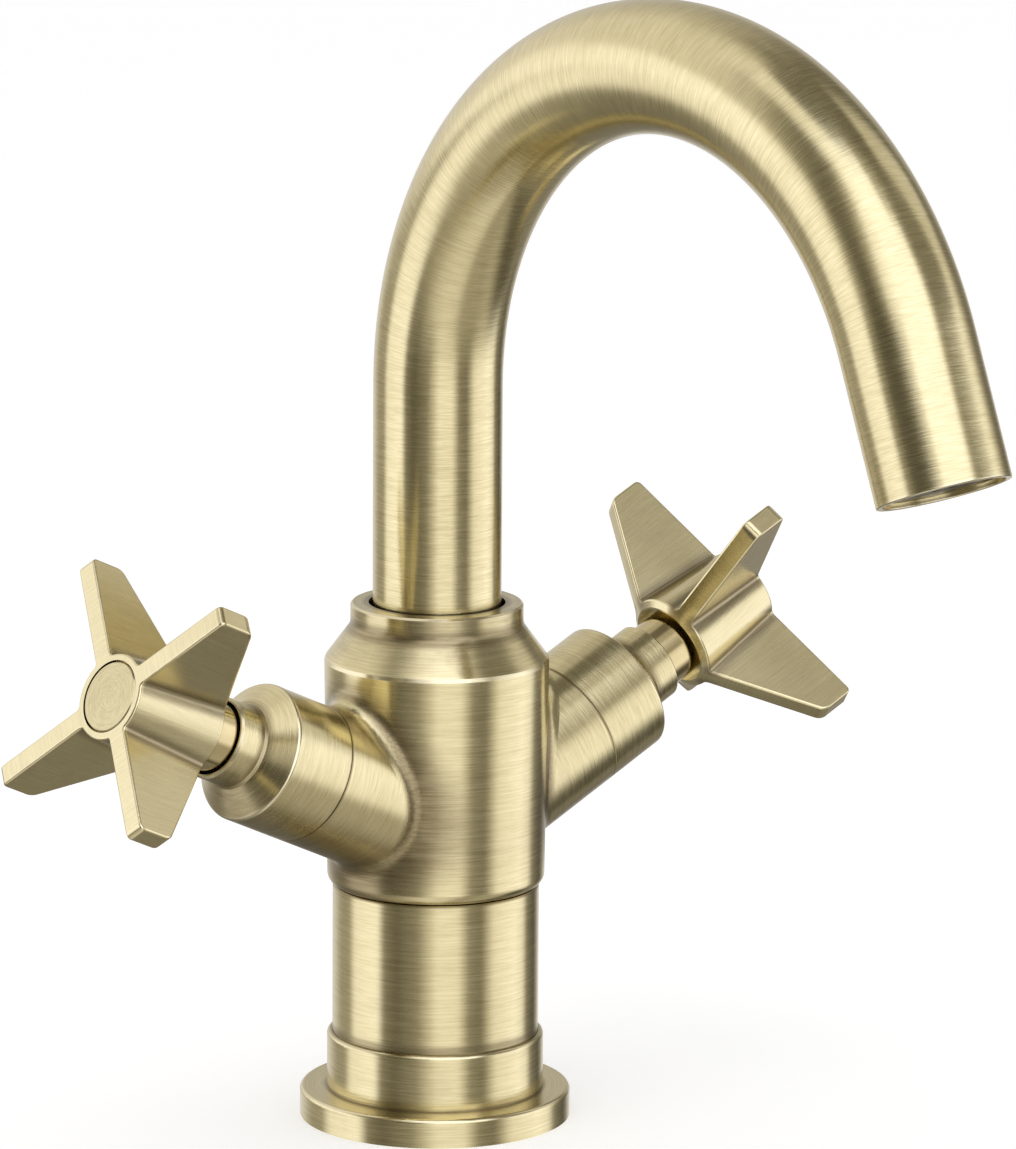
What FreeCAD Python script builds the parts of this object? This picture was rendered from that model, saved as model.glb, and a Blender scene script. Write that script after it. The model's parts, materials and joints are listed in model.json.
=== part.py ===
import FreeCAD, Part
import math
import os
import re
import Sketcher

# Two-handle deck tap with a swivelling gooseneck spout and two finned cross handles.
# Frame, in millimetres: the origin is the centre of the flange's underside, which lies on the deck.
# +Z is up, the spout points to -Y, and the two side arms lie in the XZ plane, tilted upwards.
# A piece on an arm is modelled along its own Z axis. Its heights are stations: distances along the
# arm's axis from the point where that axis meets the tap's centre line.

# The driving dimensions: alias, value, what it sizes.
SIZES = (
    # base
    ("flange_radius", 26.5, "round flange that lies on the deck"),
    ("flange_height", 5.65, "flange thickness"),
    ("flange_round", 0.8, "rounding of the flange's upper edge"),
    ("collar_radius", 21.2, "collar that stands on the flange"),
    ("collar_top", 16.9, "height of the collar's top"),
    ("collar_round", 0.8, "rounding of the collar's top edge"),
    ("seal_width", 3.0, "rubber ring under the flange"),
    ("seal_depth", 1.5, "depth of its groove"),
    ("seal_margin", 1.8, "metal left outside its groove"),
    ("sleeve_radius", 20.17, "sleeve between collar and casting"),
    ("sleeve_wall", 2.0, "its wall"),
    ("sleeve_seat", 3.0, "height of the shelf it stands on"),
    # casting
    ("barrel_height", 44.79, "shoulder's edge down to the seam where the barrel starts"),
    ("barrel_foot_radius", 21.18, "barrel at its foot"),
    ("barrel_foot_round", 2.2, "rounding of the barrel's foot"),
    ("shoulder_height", 91.36, "height of the shoulder's edge"),
    ("shoulder_radius", 21.88, "barrel at the shoulder"),
    ("neck_radius", 16.8, "ring round the spout"),
    ("neck_cone", 6.84, "height of the cone between shoulder and ring"),
    ("neck_height", 4.2, "height of the ring"),
    ("neck_blend", 2.5, "concave blend between cone and ring"),
    ("neck_gap", 0.8, "gap between the spout tube and the ring"),
    ("neck_depth", 9.4, "ring's top down to the ledge inside it"),
    ("socket_depth", 13.5, "ledge down to the lower end of the spout's socket"),
    ("chamber_radius", 8.0, "mixing chamber under the socket"),
    ("chamber_height", 8.7, "its height"),
    ("edge_break", 0.4, "small chamfer on turned edges"),
    # water and fixing holes in the casting's lower end
    ("inlet_offset", 9.0, "centre line to each inlet"),
    ("inlet_radius", 4.6, "inlet thread M10 x 1, drawn at its crest"),
    ("inlet_depth", 12.0, "its depth"),
    ("waterway_radius", 3.5, "hot and cold waterways"),
    ("waterway_rise", 5.14, "how far they reach above the crossing of the arm axes"),
    ("stud_offset", 10.5, "centre line to the fixing stud"),
    ("stud_radius", 3.4, "stud thread M8, drawn at its crest"),
    ("stud_depth", 14.0, "its depth"),
    ("outlet_rise", 4.5, "mixing chamber's floor up to the passages from the arms"),
    ("outlet_radius", 2.8, "those passages"),
    ("outlet_reach", 19.5, "how far they reach into each arm"),
    # arms and valves, heights are stations
    ("arm_drop", 33.5, "shoulder's edge down to where the arm axes cross the centre line"),
    ("arm_tilt", 24.9, "arm axes above the horizontal, degrees"),
    ("arm_radius", 13.65, "arm and bonnet"),
    ("arm_seam", 36.5, "station of the seam between arm and bonnet"),
    ("arm_blend", 3.5, "blend between arm and barrel"),
    ("valve_seat", 22.0, "station of the seat in the arm"),
    ("seat_port_radius", 4.0, "port through the seat"),
    ("seat_port_end", 8.5, "station where the port starts"),
    ("valve_chamber_radius", 9.8, "chamber round the valve's windows"),
    ("valve_thread_foot", 29.5, "station where the valve's thread starts"),
    ("valve_thread_radius", 10.4, "valve thread G1/2"),
    ("valve_nose_radius", 8.4, "valve below its thread"),
    ("seat_seal_height", 1.5, "rubber ring on the seat"),
    ("seat_seal_bore", 4.8, "its bore"),
    ("valve_cavity_radius", 6.8, "cavity that holds the discs"),
    ("valve_cavity_top", 31.2, "station of its top"),
    ("window_height", 2.4, "side windows of the valve"),
    ("window_width", 7.0, "their width"),
    ("hexagon_flats", 20.0, "valve hexagon across flats"),
    ("hexagon_height", 4.5, "its height"),
    ("valve_neck_radius", 6.6, "valve above its hexagon"),
    ("valve_neck_top", 49.0, "station of the neck's end"),
    ("disc_height", 2.2, "each ceramic disc"),
    ("disc_port_radius", 1.8, "ports through the discs"),
    ("disc_port_offset", 3.7, "their distance from the axis"),
    # spindle
    ("spindle_radius", 5.0, "spindle in the valve's neck"),
    ("spindle_foot_height", 2.9, "its wide foot"),
    ("spindle_square", 7.0, "square drive across flats"),
    ("spindle_end", 65.5, "station of its end"),
    ("spindle_tap_depth", 9.0, "tapped hole in its end"),
    ("clip_height", 0.9, "clip above the neck"),
    ("clip_radius", 6.5, "its outside"),
    ("clip_depth", 0.8, "depth of its groove"),
    ("ring_section", 0.9, "section radius of the small seal rings"),
    ("ring_station", 44.0, "station of the ring on the spindle"),
    # bonnet
    ("bonnet_shoulder", 50.5, "station of the bonnet's shoulder"),
    ("bonnet_neck_foot", 54.2, "station where its end face meets its neck"),
    ("bonnet_neck_end", 60.3, "station of the neck's rim"),
    ("bonnet_neck_radius", 8.15, "its neck"),
    ("bonnet_neck_bore", 7.4, "bore of that neck"),
    ("bonnet_wall", 1.5, "wall of the bonnet"),
    ("bonnet_shoulder_round", 0.7, "rounding of its shoulder"),
    # handle
    ("stem_radius", 6.9, "polished stem between bonnet and hub"),
    ("stem_end", 72.0, "station of its end in the hub"),
    ("hub_rear", 66.2, "station of the hub's rear face"),
    ("hub_front", 87.3, "station of the hub's front face"),
    ("hub_rear_radius", 10.2, "hub at its rear"),
    ("hub_front_radius", 8.5, "hub at its front"),
    ("recess_radius", 8.4, "recess round the stem"),
    ("recess_depth", 2.0, "its depth"),
    ("fin_reach", 30.9, "axis to the tip of a fin"),
    ("fin_thickness", 4.2, "fin thickness"),
    ("fin_rear_tip", 79.6, "station of a fin's rear corner at its tip"),
    ("fin_count", 4, "fins of a handle"),
    ("fin_front_round", 1.2, "rounding of a tip's front corner"),
    ("fin_rear_round", 2.4, "rounding of a tip's rear corner"),
    ("fin_edge_round", 0.45, "rounding of the long edges"),
    ("hub_blend", 1.0, "blend between fins and hub"),
    ("left_rest_angle", 41.4, "fins of the left handle as pictured, degrees"),
    ("right_rest_angle", 42.6, "fins of the right handle as pictured, degrees"),
    # screw and cap
    ("screw_radius", 2.5, "handle screw M5"),
    ("screw_length", 13.0, "its length under the head"),
    ("screw_head_radius", 4.25, "its head"),
    ("screw_head_height", 4.0, "height of its head"),
    ("screw_socket", 4.0, "its hexagon socket across flats"),
    ("screw_seat", 75.0, "station of the web that it clamps"),
    ("head_pocket_radius", 5.2, "pocket round the screw's head"),
    ("cap_radius", 6.85, "cap over the screw"),
    ("cap_groove", 0.28, "groove round the cap"),
    ("cap_height", 2.6, "its thickness"),
    # spout
    ("tube_radius", 12.5, "spout tube"),
    ("tube_wall", 1.2, "its wall"),
    ("spout_rise", 42.98, "ring's top up to the start of the arch"),
    ("arch_radius", 68.45, "radius of the arch's centre line"),
    ("arch_sweep", 158.0, "angle of the arch, degrees"),
    ("tail_length", 27.4, "straight end after the arch"),
    ("glide_height", 1.0, "plastic ring under the spout"),
    ("foot_height", 3.0, "collar of the spout foot"),
    ("foot_bore", 7.5, "bore of the spout foot"),
    ("foot_spigot", 10.0, "length of foot in the tube"),
    ("journal_radius", 10.55, "foot in the casting's socket"),
    ("journal_gap", 1.0, "journal's lower end above the socket's"),
    ("lower_ring_drop", 9.4, "ledge down to the lower seal ring"),
    ("upper_ring_drop", 5.2, "ledge down to the upper seal ring"),
    ("snap_drop", 2.1, "ledge down to the snap ring's underside"),
    ("snap_height", 1.2, "its thickness"),
    ("snap_reach", 0.9, "how far it stands out of the journal"),
    ("snap_depth", 1.1, "how far it lies in the journal"),
    ("snap_opening", 30.0, "gap of the snap ring, degrees"),
    # aerator, heights are depths inside the spout's tip
    ("nozzle_recess", 0.9, "tip to the nozzle ring"),
    ("nozzle_length", 9.5, "nozzle ring"),
    ("nozzle_wall", 1.3, "its wall"),
    ("nozzle_stop", 1.6, "shoulder at its inner end"),
    ("insert_recess", 1.4, "tip to the aerator insert"),
    ("insert_length", 5.6, "aerator insert"),
    ("insert_floor", 1.0, "its perforated floor"),
    ("insert_wall", 1.2, "its wall"),
    ("jet_radius", 0.8, "jets in that floor"),
    ("jet_circle", 6.0, "circle of the outer jets"),
    ("jet_count", 12, "jets on that circle"),
    # clearances
    ("fit_gap", 0.05, "pieces fixed in each other, per side"),
    ("running_gap", 0.05, "pieces that turn in each other, per side"),
    ("axial_gap", 0.1, "pieces that turn over each other"),
)

# Heights that follow from the driving dimensions: alias, formula, what it places.
HEIGHTS = (
    ("barrel_foot", "shoulder_height - barrel_height", "seam where the barrel starts"),
    ("neck_foot", "shoulder_height + neck_cone", "foot of the ring round the spout"),
    ("neck_top", "neck_foot + neck_height", "top of that ring"),
    ("neck_floor", "neck_top - neck_depth", "ledge inside the ring"),
    ("socket_floor", "neck_floor - socket_depth", "lower end of the spout's socket"),
    ("chamber_floor", "socket_floor - chamber_height", "floor of the mixing chamber"),
    ("outlet_level", "chamber_floor + outlet_rise", "passages from the arms"),
    ("arm_centre", "shoulder_height - arm_drop", "crossing of the arm axes"),
    ("waterway_top", "arm_centre + waterway_rise", "upper end of the waterways"),
    ("arch_foot", "neck_top + spout_rise", "start of the gooseneck's arch"),
    ("journal_end", "socket_floor + journal_gap", "lower end of the spout's journal"),
    ("lower_ring_height", "neck_floor - lower_ring_drop", "lower seal ring"),
    ("upper_ring_height", "neck_floor - upper_ring_drop", "upper seal ring"),
    ("snap_floor", "neck_floor - snap_drop", "underside of the snap ring"),
)

ALIASES = {alias for alias, value, note in SIZES + HEIGHTS}
AXIS_TILT = "90 - arm_tilt"

document = FreeCAD.newDocument("cross_handle_tap")
sheet = document.addObject("Spreadsheet::Sheet", "sizes")
for row, (alias, value, note) in enumerate(SIZES + HEIGHTS, start=1):
    sheet.set(f"A{row}", alias)
    sheet.set(f"B{row}", f"={value}")
    sheet.set(f"C{row}", note)
    sheet.setAlias(f"B{row}", alias)
document.recompute()


def bound(text):
    """Turn plain aliases in a formula into references to the sheet."""
    return re.sub(r"[a-z]\w*", lambda word: "sizes." + word[0] if word[0] in ALIASES else word[0], text)


def number(text):
    """Work a formula out now."""
    return float(sheet.evalExpression(bound(text).replace("sizes.", "")))


# ---------------------------------------------------------------- document helpers


def new_body(name):
    """A body, which is one sub-part, with the label that names its file."""
    body = document.addObject("PartDesign::Body", name)
    body.Label = name
    return body


def origin_feature(body, role):
    """One of the body's own origin planes or axes."""
    return next(feature for feature in body.Origin.OriginFeatures if feature.Role == role)


def attach(feature, body, role, offset=None, turn=None):
    """Attach to an origin plane, with a bound offset and a turn about one of the plane's axes."""
    feature.AttachmentSupport = [(origin_feature(body, role), "")]
    feature.MapMode = "FlatFace"
    if turn is not None:
        axis, formula = turn
        rotation = FreeCAD.Rotation(axis, number(formula))
        feature.AttachmentOffset = FreeCAD.Placement(FreeCAD.Vector(), rotation)
        feature.setExpression("AttachmentOffset.Rotation.Angle", bound(formula))
    for letter, formula in (offset or {}).items():
        feature.setExpression("AttachmentOffset.Base." + letter, bound(formula))


def outline_sketch(body, name, points, role="XZ_Plane", offset=None, turn=None):
    """A closed outline. Each corner is two formulas, and a third entry, the formulas of a centre,
    makes the edge from that corner to the next an arc."""
    sketch = body.newObject("Sketcher::SketchObject", name)
    attach(sketch, body, role, offset, turn)
    corners = [FreeCAD.Vector(number(point[0]), number(point[1]), 0) for point in points]
    starts = []
    for index, point in enumerate(points):
        following = corners[(index + 1) % len(corners)]
        starts.append(add_edge(sketch, corners[index], following, point[2:]))
    for index in range(len(corners)):
        following = (index + 1) % len(corners)
        joint = Sketcher.Constraint("Coincident", index, 3 - starts[index], following, starts[following])
        sketch.addConstraint(joint)
    for index, point in enumerate(points):
        for kind, formula in zip(("DistanceX", "DistanceY"), point[:2]):
            constraint = Sketcher.Constraint(kind, -1, 1, index, starts[index], number(formula))
            place = sketch.addConstraint(constraint)
            sketch.setExpression(f"Constraints[{place}]", bound(formula))
        if len(point) > 2:
            across, along = point[2]
            radius = f"sqrt(({point[0]} - ({across}))^2 + ({point[1]} - ({along}))^2)"
            place = sketch.addConstraint(Sketcher.Constraint("Radius", index, number(radius)))
            sketch.setExpression(f"Constraints[{place}]", bound(radius))
    return sketch


def add_edge(sketch, start, end, centre):
    """Add a line, or the short arc about a centre. Says which end of it the start is, 1 or 2."""
    if not centre:
        sketch.addGeometry(Part.LineSegment(start, end), False)
        return 1
    middle = FreeCAD.Vector(number(centre[0][0]), number(centre[0][1]), 0)
    radius = (start - middle).Length
    crown = (start + end) * 0.5 - middle
    crown.normalize()
    sketch.addGeometry(Part.Arc(start, middle + crown * radius, end), False)
    anticlockwise = (start - middle).cross(end - middle).z > 0
    return 1 if anticlockwise else 2


def circle_sketch(body, name, radii, role="XY_Plane", offset=None):
    """Circles round the sketch's origin."""
    sketch = body.newObject("Sketcher::SketchObject", name)
    attach(sketch, body, role, offset)
    for formula in radii:
        add_circle(sketch, formula)
    return sketch


def add_circle(sketch, radius):
    """Add a circle round the sketch's origin."""
    circle = Part.Circle(FreeCAD.Vector(), FreeCAD.Vector(0, 0, 1), number(radius))
    index = sketch.addGeometry(circle, False)
    sketch.addConstraint(Sketcher.Constraint("Coincident", index, 3, -1, 1))
    place = sketch.addConstraint(Sketcher.Constraint("Radius", index, number(radius)))
    sketch.setExpression(f"Constraints[{place}]", bound(radius))


def turned(body, name, points, cut=False, offset=None, turn=None):
    """Revolve an outline of (radius, height) corners round the sketch's vertical axis."""
    sketch = outline_sketch(body, name + "_outline", points, "XZ_Plane", offset, turn)
    feature = body.newObject("PartDesign::Groove" if cut else "PartDesign::Revolution", name)
    feature.Profile = sketch
    feature.ReferenceAxis = (sketch, ["V_Axis"])
    feature.Angle = 360.0
    return finish_feature(body, cut, feature)


def padded(body, name, sketch, length, cut=False, middle=False, reverse=False):
    """Pad or pocket a sketch by a bound length."""
    feature = body.newObject("PartDesign::Pocket" if cut else "PartDesign::Pad", name)
    feature.Profile = sketch
    feature.setExpression("Length", bound(length))
    feature.Midplane = middle
    feature.Reversed = reverse
    return finish_feature(body, cut, feature)


def drilled(body, name, radius, depth, offset, turn=None):
    """A round hole along Z, or along the turned axis, from the point that the offset names."""
    feature = body.newObject("PartDesign::SubtractiveCylinder", name)
    attach(feature, body, "XY_Plane", offset, turn)
    feature.setExpression("Radius", bound(radius))
    feature.setExpression("Height", bound(depth))
    return finish_feature(body, True, feature)


def finish_feature(body, cut, feature):
    """Recompute, and stop if a cut removed nothing or an addition added nothing."""
    before = feature.BaseFeature.Shape.Volume if feature.BaseFeature else 0.0
    document.recompute()
    change = feature.Shape.Volume - before
    if abs(change) < 1e-6 or (change > 0) == cut:
        raise RuntimeError(f"{body.Label}: {feature.Label} changed the volume by {change:.4f}")
    return feature


def repeated(body, name, originals, count):
    """Repeat features round the body's Z axis, or the whole body where none are named."""
    pattern = body.newObject("PartDesign::PolarPattern", name)
    if originals:
        pattern.Originals = originals
    else:
        pattern.TransformMode = "Whole shape"
    pattern.Axis = (origin_feature(body, "Z_Axis"), [""])
    pattern.Angle = 360.0
    pattern.setExpression("Occurrences", bound(count))
    body.Tip = pattern
    document.recompute()
    return pattern


def mirrored(body, name, originals):
    """Repeat features on the other side of the YZ plane."""
    mirror = body.newObject("PartDesign::Mirrored", name)
    mirror.Originals = originals
    mirror.MirrorPlane = (origin_feature(body, "YZ_Plane"), [""])
    body.Tip = mirror
    document.recompute()
    return mirror


def rounded(body, name, radius, chosen):
    """Fillet the edges of the body's tip that the test picks."""
    dress_edges(body, "PartDesign::Fillet", name, "Radius", radius, chosen)


def chamfered(body, name, size, chosen):
    """Break the edges of the body's tip that the test picks."""
    dress_edges(body, "PartDesign::Chamfer", name, "Size", size, chosen)


def dress_edges(body, kind, name, amount, formula, chosen):
    """Add a fillet or a chamfer, and stop if the test picks no edge."""
    base = body.Tip
    edges = [f"Edge{place}" for place, edge in enumerate(base.Shape.Edges, start=1) if chosen(edge)]
    if not edges:
        raise RuntimeError(f"{body.Label}: {name} found no edge")
    feature = body.newObject(kind, name)
    feature.Base = (base, edges)
    feature.setExpression(amount, bound(formula))
    document.recompute()


def near(first, second, tolerance=1e-3):
    return abs(first - second) < tolerance


def ring_at(radius, height):
    """A test for a full circle round Z with this radius at this height."""
    def test(edge):
        if not isinstance(edge.Curve, Part.Circle):
            return False
        centre = edge.Curve.Center
        central = near(centre.x, 0) and near(centre.y, 0) and near(centre.z, number(height))
        return central and near(edge.Curve.Radius, number(radius))
    return test


def arm_placement(side, rest_angle="0"):
    """Stands a piece on an arm: its Z axis along the arm, from the centre line outwards."""
    tilt = FreeCAD.Rotation(FreeCAD.Vector(0, 1, 0), side * number(AXIS_TILT))
    spin = FreeCAD.Rotation(FreeCAD.Vector(0, 0, 1), number(rest_angle))
    return FreeCAD.Placement(FreeCAD.Vector(0, 0, number("arm_centre")), tilt.multiply(spin))


def seal_ring(name, middle_radius, height):
    """A round rubber ring about Z."""
    ring = document.addObject("Part::Torus", name)
    ring.Label = name
    ring.setExpression("Radius1", bound(middle_radius))
    ring.setExpression("Radius2", bound("ring_section"))
    ring.setExpression("Placement.Base.z", bound(height))
    return ring


def rectangle(inner, outer, low, high):
    """The outline of a plain ring."""
    return [(inner, low), (outer, low), (outer, high), (inner, high)]


# ---------------------------------------------------------------- base

SHANK_RADIUS = "(sleeve_radius - sleeve_wall - fit_gap)"


def make_base_flange():
    """Flange and collar turned in one piece, with the shelf that carries the sleeve."""
    body = new_body("base_flange")
    bore = SHANK_RADIUS + " + fit_gap"
    seat = "sleeve_radius + fit_gap"
    turned(body, "flange", [
        (bore, "0"), ("flange_radius", "0"), ("flange_radius", "flange_height"),
        ("collar_radius", "flange_height"), ("collar_radius", "collar_top"),
        (seat, "collar_top"), (seat, "sleeve_seat"), (bore, "sleeve_seat")])
    rounded(body, "flange_edge", "flange_round", ring_at("flange_radius", "flange_height"))
    rounded(body, "collar_edge", "collar_round", ring_at("collar_radius", "collar_top"))
    outer = "flange_radius - seal_margin"
    groove = rectangle(outer + " - seal_width", outer, "0", "seal_depth")
    turned(body, "seal_groove", groove, cut=True)
    return body


def make_base_seal():
    """Rubber ring in the flange's groove, flush with the deck face."""
    body = new_body("base_seal")
    outer = "flange_radius - seal_margin - fit_gap"
    inner = "flange_radius - seal_margin - seal_width + fit_gap"
    turned(body, "seal", rectangle(inner, outer, "0", "seal_depth"))
    return body


def make_column_sleeve():
    """Sleeve over the casting's shank, from the flange's shelf to the barrel."""
    body = new_body("column_sleeve")
    inner = "sleeve_radius - sleeve_wall"
    turned(body, "sleeve", rectangle(inner, "sleeve_radius", "sleeve_seat", "barrel_foot"))
    chamfered(body, "seam_edge", "edge_break / 2", ring_at("sleeve_radius", "barrel_foot"))
    return body


# ---------------------------------------------------------------- casting


def make_casting():
    """Barrel, shank, neck ring and two tilted arms, with the seats and waterways inside."""
    body = new_body("body_casting")
    turned(body, "barrel", [
        ("0", "0"), (SHANK_RADIUS, "0"), (SHANK_RADIUS, "barrel_foot"),
        ("barrel_foot_radius", "barrel_foot"), ("shoulder_radius", "shoulder_height"),
        ("neck_radius", "neck_foot"), ("neck_radius", "neck_top"), ("0", "neck_top")])
    rounded(body, "barrel_foot_edge", "barrel_foot_round", ring_at("barrel_foot_radius", "barrel_foot"))
    chamfered(body, "shoulder_edge", "edge_break", ring_at("shoulder_radius", "shoulder_height"))
    rounded(body, "neck_hollow", "neck_blend", ring_at("neck_radius", "neck_foot"))
    chamfered(body, "neck_edge", "edge_break", ring_at("neck_radius", "neck_top"))
    add_arms(body)
    cut_socket(body)
    cut_arm_seats(body)
    cut_inlets(body)
    return body


def add_arms(body):
    """The two arms, blended into the barrel."""
    arm = body.newObject("PartDesign::AdditiveCylinder", "arm")
    attach(arm, body, "XY_Plane", {"z": "arm_centre"}, (FreeCAD.Vector(0, 1, 0), AXIS_TILT))
    arm.setExpression("Radius", bound("arm_radius"))
    arm.setExpression("Height", bound("arm_seam"))
    finish_feature(body, False, arm)
    mirrored(body, "arms", [arm])

    def joins_arm_and_barrel(edge):
        box = edge.BoundBox
        beside = max(abs(box.XMin), abs(box.XMax)) < number("shoulder_radius") + 0.5
        tall = box.ZLength > number("arm_radius") * 0.5
        low = box.ZMax < number("shoulder_height") + 0.5
        return beside and tall and low and box.YLength > number("arm_radius") * 0.5

    rounded(body, "arm_hollows", "arm_blend", joins_arm_and_barrel)


def cut_socket(body):
    """Stepped bore for the spout: neck, journal socket, snap groove, mixing chamber."""
    neck = "tube_radius + neck_gap"
    socket = "journal_radius + running_gap"
    groove = "journal_radius + snap_reach + running_gap"
    low = "snap_floor - axial_gap"
    high = "snap_floor + snap_height + axial_gap"
    turned(body, "socket", [
        ("0", "chamber_floor"), ("chamber_radius", "chamber_floor"), ("chamber_radius", "socket_floor"),
        (socket, "socket_floor"), (socket, low), (groove, low), (groove, high), (socket, high),
        (socket, "neck_floor"), (neck, "neck_floor"), (neck, "neck_top"), ("0", "neck_top")], cut=True)


def cut_arm_seats(body):
    """Threaded seat, valve chamber and port in each arm, and its way to the mixing chamber."""
    thread = "valve_thread_radius + fit_gap"
    # A positive turn about the sketch's normal, -Y, leans the sketch's vertical axis towards -X.
    lean = (FreeCAD.Vector(0, 0, 1), "-(" + AXIS_TILT + ")")
    seat = turned(body, "valve_seat_bore", [
        ("0", "seat_port_end"), ("seat_port_radius", "seat_port_end"), ("seat_port_radius", "valve_seat"),
        ("valve_chamber_radius", "valve_seat"), ("valve_chamber_radius", "valve_thread_foot"),
        (thread, "valve_thread_foot"), (thread, "arm_seam"), ("0", "arm_seam")],
        cut=True, offset={"y": "arm_centre"}, turn=lean)
    mirrored(body, "valve_seat_bores", [seat])
    sideways = (FreeCAD.Vector(0, 1, 0), "90")
    passage = drilled(body, "outlet", "outlet_radius", "outlet_reach", {"z": "outlet_level"}, sideways)
    mirrored(body, "outlets", [passage])


def cut_inlets(body):
    """Hot and cold inlets with their waterways, and the hole of the fixing stud."""
    port = drilled(body, "inlet", "inlet_radius", "inlet_depth", {"x": "inlet_offset"})
    mirrored(body, "inlets", [port])
    way = drilled(body, "waterway", "waterway_radius", "waterway_top", {"x": "inlet_offset"})
    mirrored(body, "waterways", [way])
    drilled(body, "stud_hole", "stud_radius", "stud_depth", {"y": "stud_offset"})


# ---------------------------------------------------------------- valves in the arms

NOSE_FOOT = "(valve_seat + seat_seal_height)"
MOVING_DISC_FOOT = "(" + NOSE_FOOT + " + disc_height + axial_gap / 2)"
SPINDLE_FOOT = "(" + MOVING_DISC_FOOT + " + disc_height)"
CLIP_FOOT = "(valve_neck_top + axial_gap)"
CLIP_TOP = "(" + CLIP_FOOT + " + clip_height)"
SQUARE_FOOT = "(" + CLIP_TOP + " + clip_height)"


def make_valve_body(side, name):
    """Screwed valve body: windowed nose, thread, hexagon and neck."""
    body = new_body(name)
    hexagon_top = "arm_seam + hexagon_height"
    bore = "spindle_radius + running_gap"
    turned(body, "stock", [
        ("valve_cavity_radius", NOSE_FOOT), ("valve_nose_radius", NOSE_FOOT),
        ("valve_nose_radius", "valve_thread_foot"), ("valve_thread_radius", "valve_thread_foot"),
        ("valve_thread_radius", "arm_seam"), ("valve_neck_radius", "arm_seam"),
        ("valve_neck_radius", "valve_neck_top"), (bore, "valve_neck_top"),
        (bore, "valve_cavity_top"), ("valve_cavity_radius", "valve_cavity_top")])
    hexagon = hexagon_sketch(body, "hexagon_outline", "hexagon_flats", {"z": "arm_seam"}, bore)
    padded(body, "hexagon", hexagon, "hexagon_height")
    chamfered(body, "neck_edge", "edge_break", ring_at("valve_neck_radius", "valve_neck_top"))
    sill = NOSE_FOOT + " + disc_height"
    window = outline_sketch(body, "window_outline", [
        ("-window_width / 2", sill), ("window_width / 2", sill),
        ("window_width / 2", sill + " + window_height"), ("-window_width / 2", sill + " + window_height")])
    padded(body, "windows", window, "4 * valve_nose_radius", cut=True, middle=True)
    body.Placement = arm_placement(side)
    return body


def hexagon_sketch(body, name, flats, offset, bore=None):
    """A hexagon across flats, with a bore where one is given."""
    corners = []
    for corner in range(6):
        angle = 60 * corner + 30
        corners.append((f"{flats} / sqrt(3) * cos({angle})", f"{flats} / sqrt(3) * sin({angle})"))
    sketch = outline_sketch(body, name, corners, "XY_Plane", offset)
    if bore:
        add_circle(sketch, bore)
    return sketch


def make_seat_seal(side, name):
    """Rubber ring between the seat and the valve."""
    body = new_body(name)
    turned(body, "seal", rectangle("seat_seal_bore", "valve_nose_radius", "valve_seat", NOSE_FOOT))
    body.Placement = arm_placement(side)
    return body


def make_disc(side, name, foot, port_turn):
    """Ceramic disc with two ports. The moving disc's ports stand across the fixed one's when shut."""
    body = new_body(name)
    disc = circle_sketch(body, "disc_outline", ["valve_cavity_radius - running_gap"], offset={"z": foot})
    padded(body, "disc", disc, "disc_height")
    port = drilled(body, "port", "disc_port_radius", "disc_height", {"x": "disc_port_offset", "z": foot})
    repeated(body, "ports", [port], "2")
    body.Placement = arm_placement(side, port_turn)
    return body


def make_spindle(side, name, rest_angle):
    """Spindle: foot on the moving disc, ring and clip grooves, square end tapped for the screw."""
    body = new_body(name)
    foot_top = SPINDLE_FOOT + " + spindle_foot_height"
    groove = "spindle_radius - ring_section * 2"
    low = "ring_station - ring_section - fit_gap"
    high = "ring_station + ring_section + fit_gap"
    turned(body, "stock", [
        ("0", SPINDLE_FOOT), ("valve_cavity_radius - running_gap", SPINDLE_FOOT),
        ("valve_cavity_radius - running_gap", foot_top), ("spindle_radius", foot_top),
        ("spindle_radius", low), (groove, low), (groove, high), ("spindle_radius", high),
        ("spindle_radius", "spindle_end"), ("0", "spindle_end")])
    clip_groove = rectangle("spindle_radius - clip_depth", "spindle_radius + 1", CLIP_FOOT, CLIP_TOP)
    turned(body, "clip_groove", clip_groove, cut=True)
    square = square_frame(body)
    padded(body, "square", square, "spindle_end - " + SQUARE_FOOT, cut=True)
    depth = "spindle_tap_depth"
    drilled(body, "tapped_hole", "screw_radius + fit_gap", depth, {"z": "spindle_end - " + depth})
    body.Placement = arm_placement(side, rest_angle)
    return body


def square_frame(body):
    """What is milled off round the square: a circle outside a square, at the spindle's end."""
    half = "spindle_square / 2"
    less = "-spindle_square / 2"
    corners = [(less, less), (half, less), (half, half), (less, half)]
    sketch = outline_sketch(body, "square_outline", corners, "XY_Plane", {"z": "spindle_end"})
    add_circle(sketch, "spindle_radius * 1.5")
    return sketch


def make_spindle_clip(side, name, rest_angle):
    """Open clip in the spindle's groove, just above the valve's neck."""
    body = new_body(name)
    inner = "spindle_radius - clip_depth + fit_gap"
    turned(body, "clip", rectangle(inner, "clip_radius", CLIP_FOOT, CLIP_TOP))
    half = "spindle_radius * 0.7"
    mouth = outline_sketch(body, "mouth_outline", [
        ("0", "-" + half), ("2 * clip_radius", "-" + half), ("2 * clip_radius", half), ("0", half)],
        "XY_Plane", {"z": CLIP_TOP})
    padded(body, "mouth", mouth, "clip_height * 2", cut=True)
    body.Placement = arm_placement(side, rest_angle)
    return body


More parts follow.
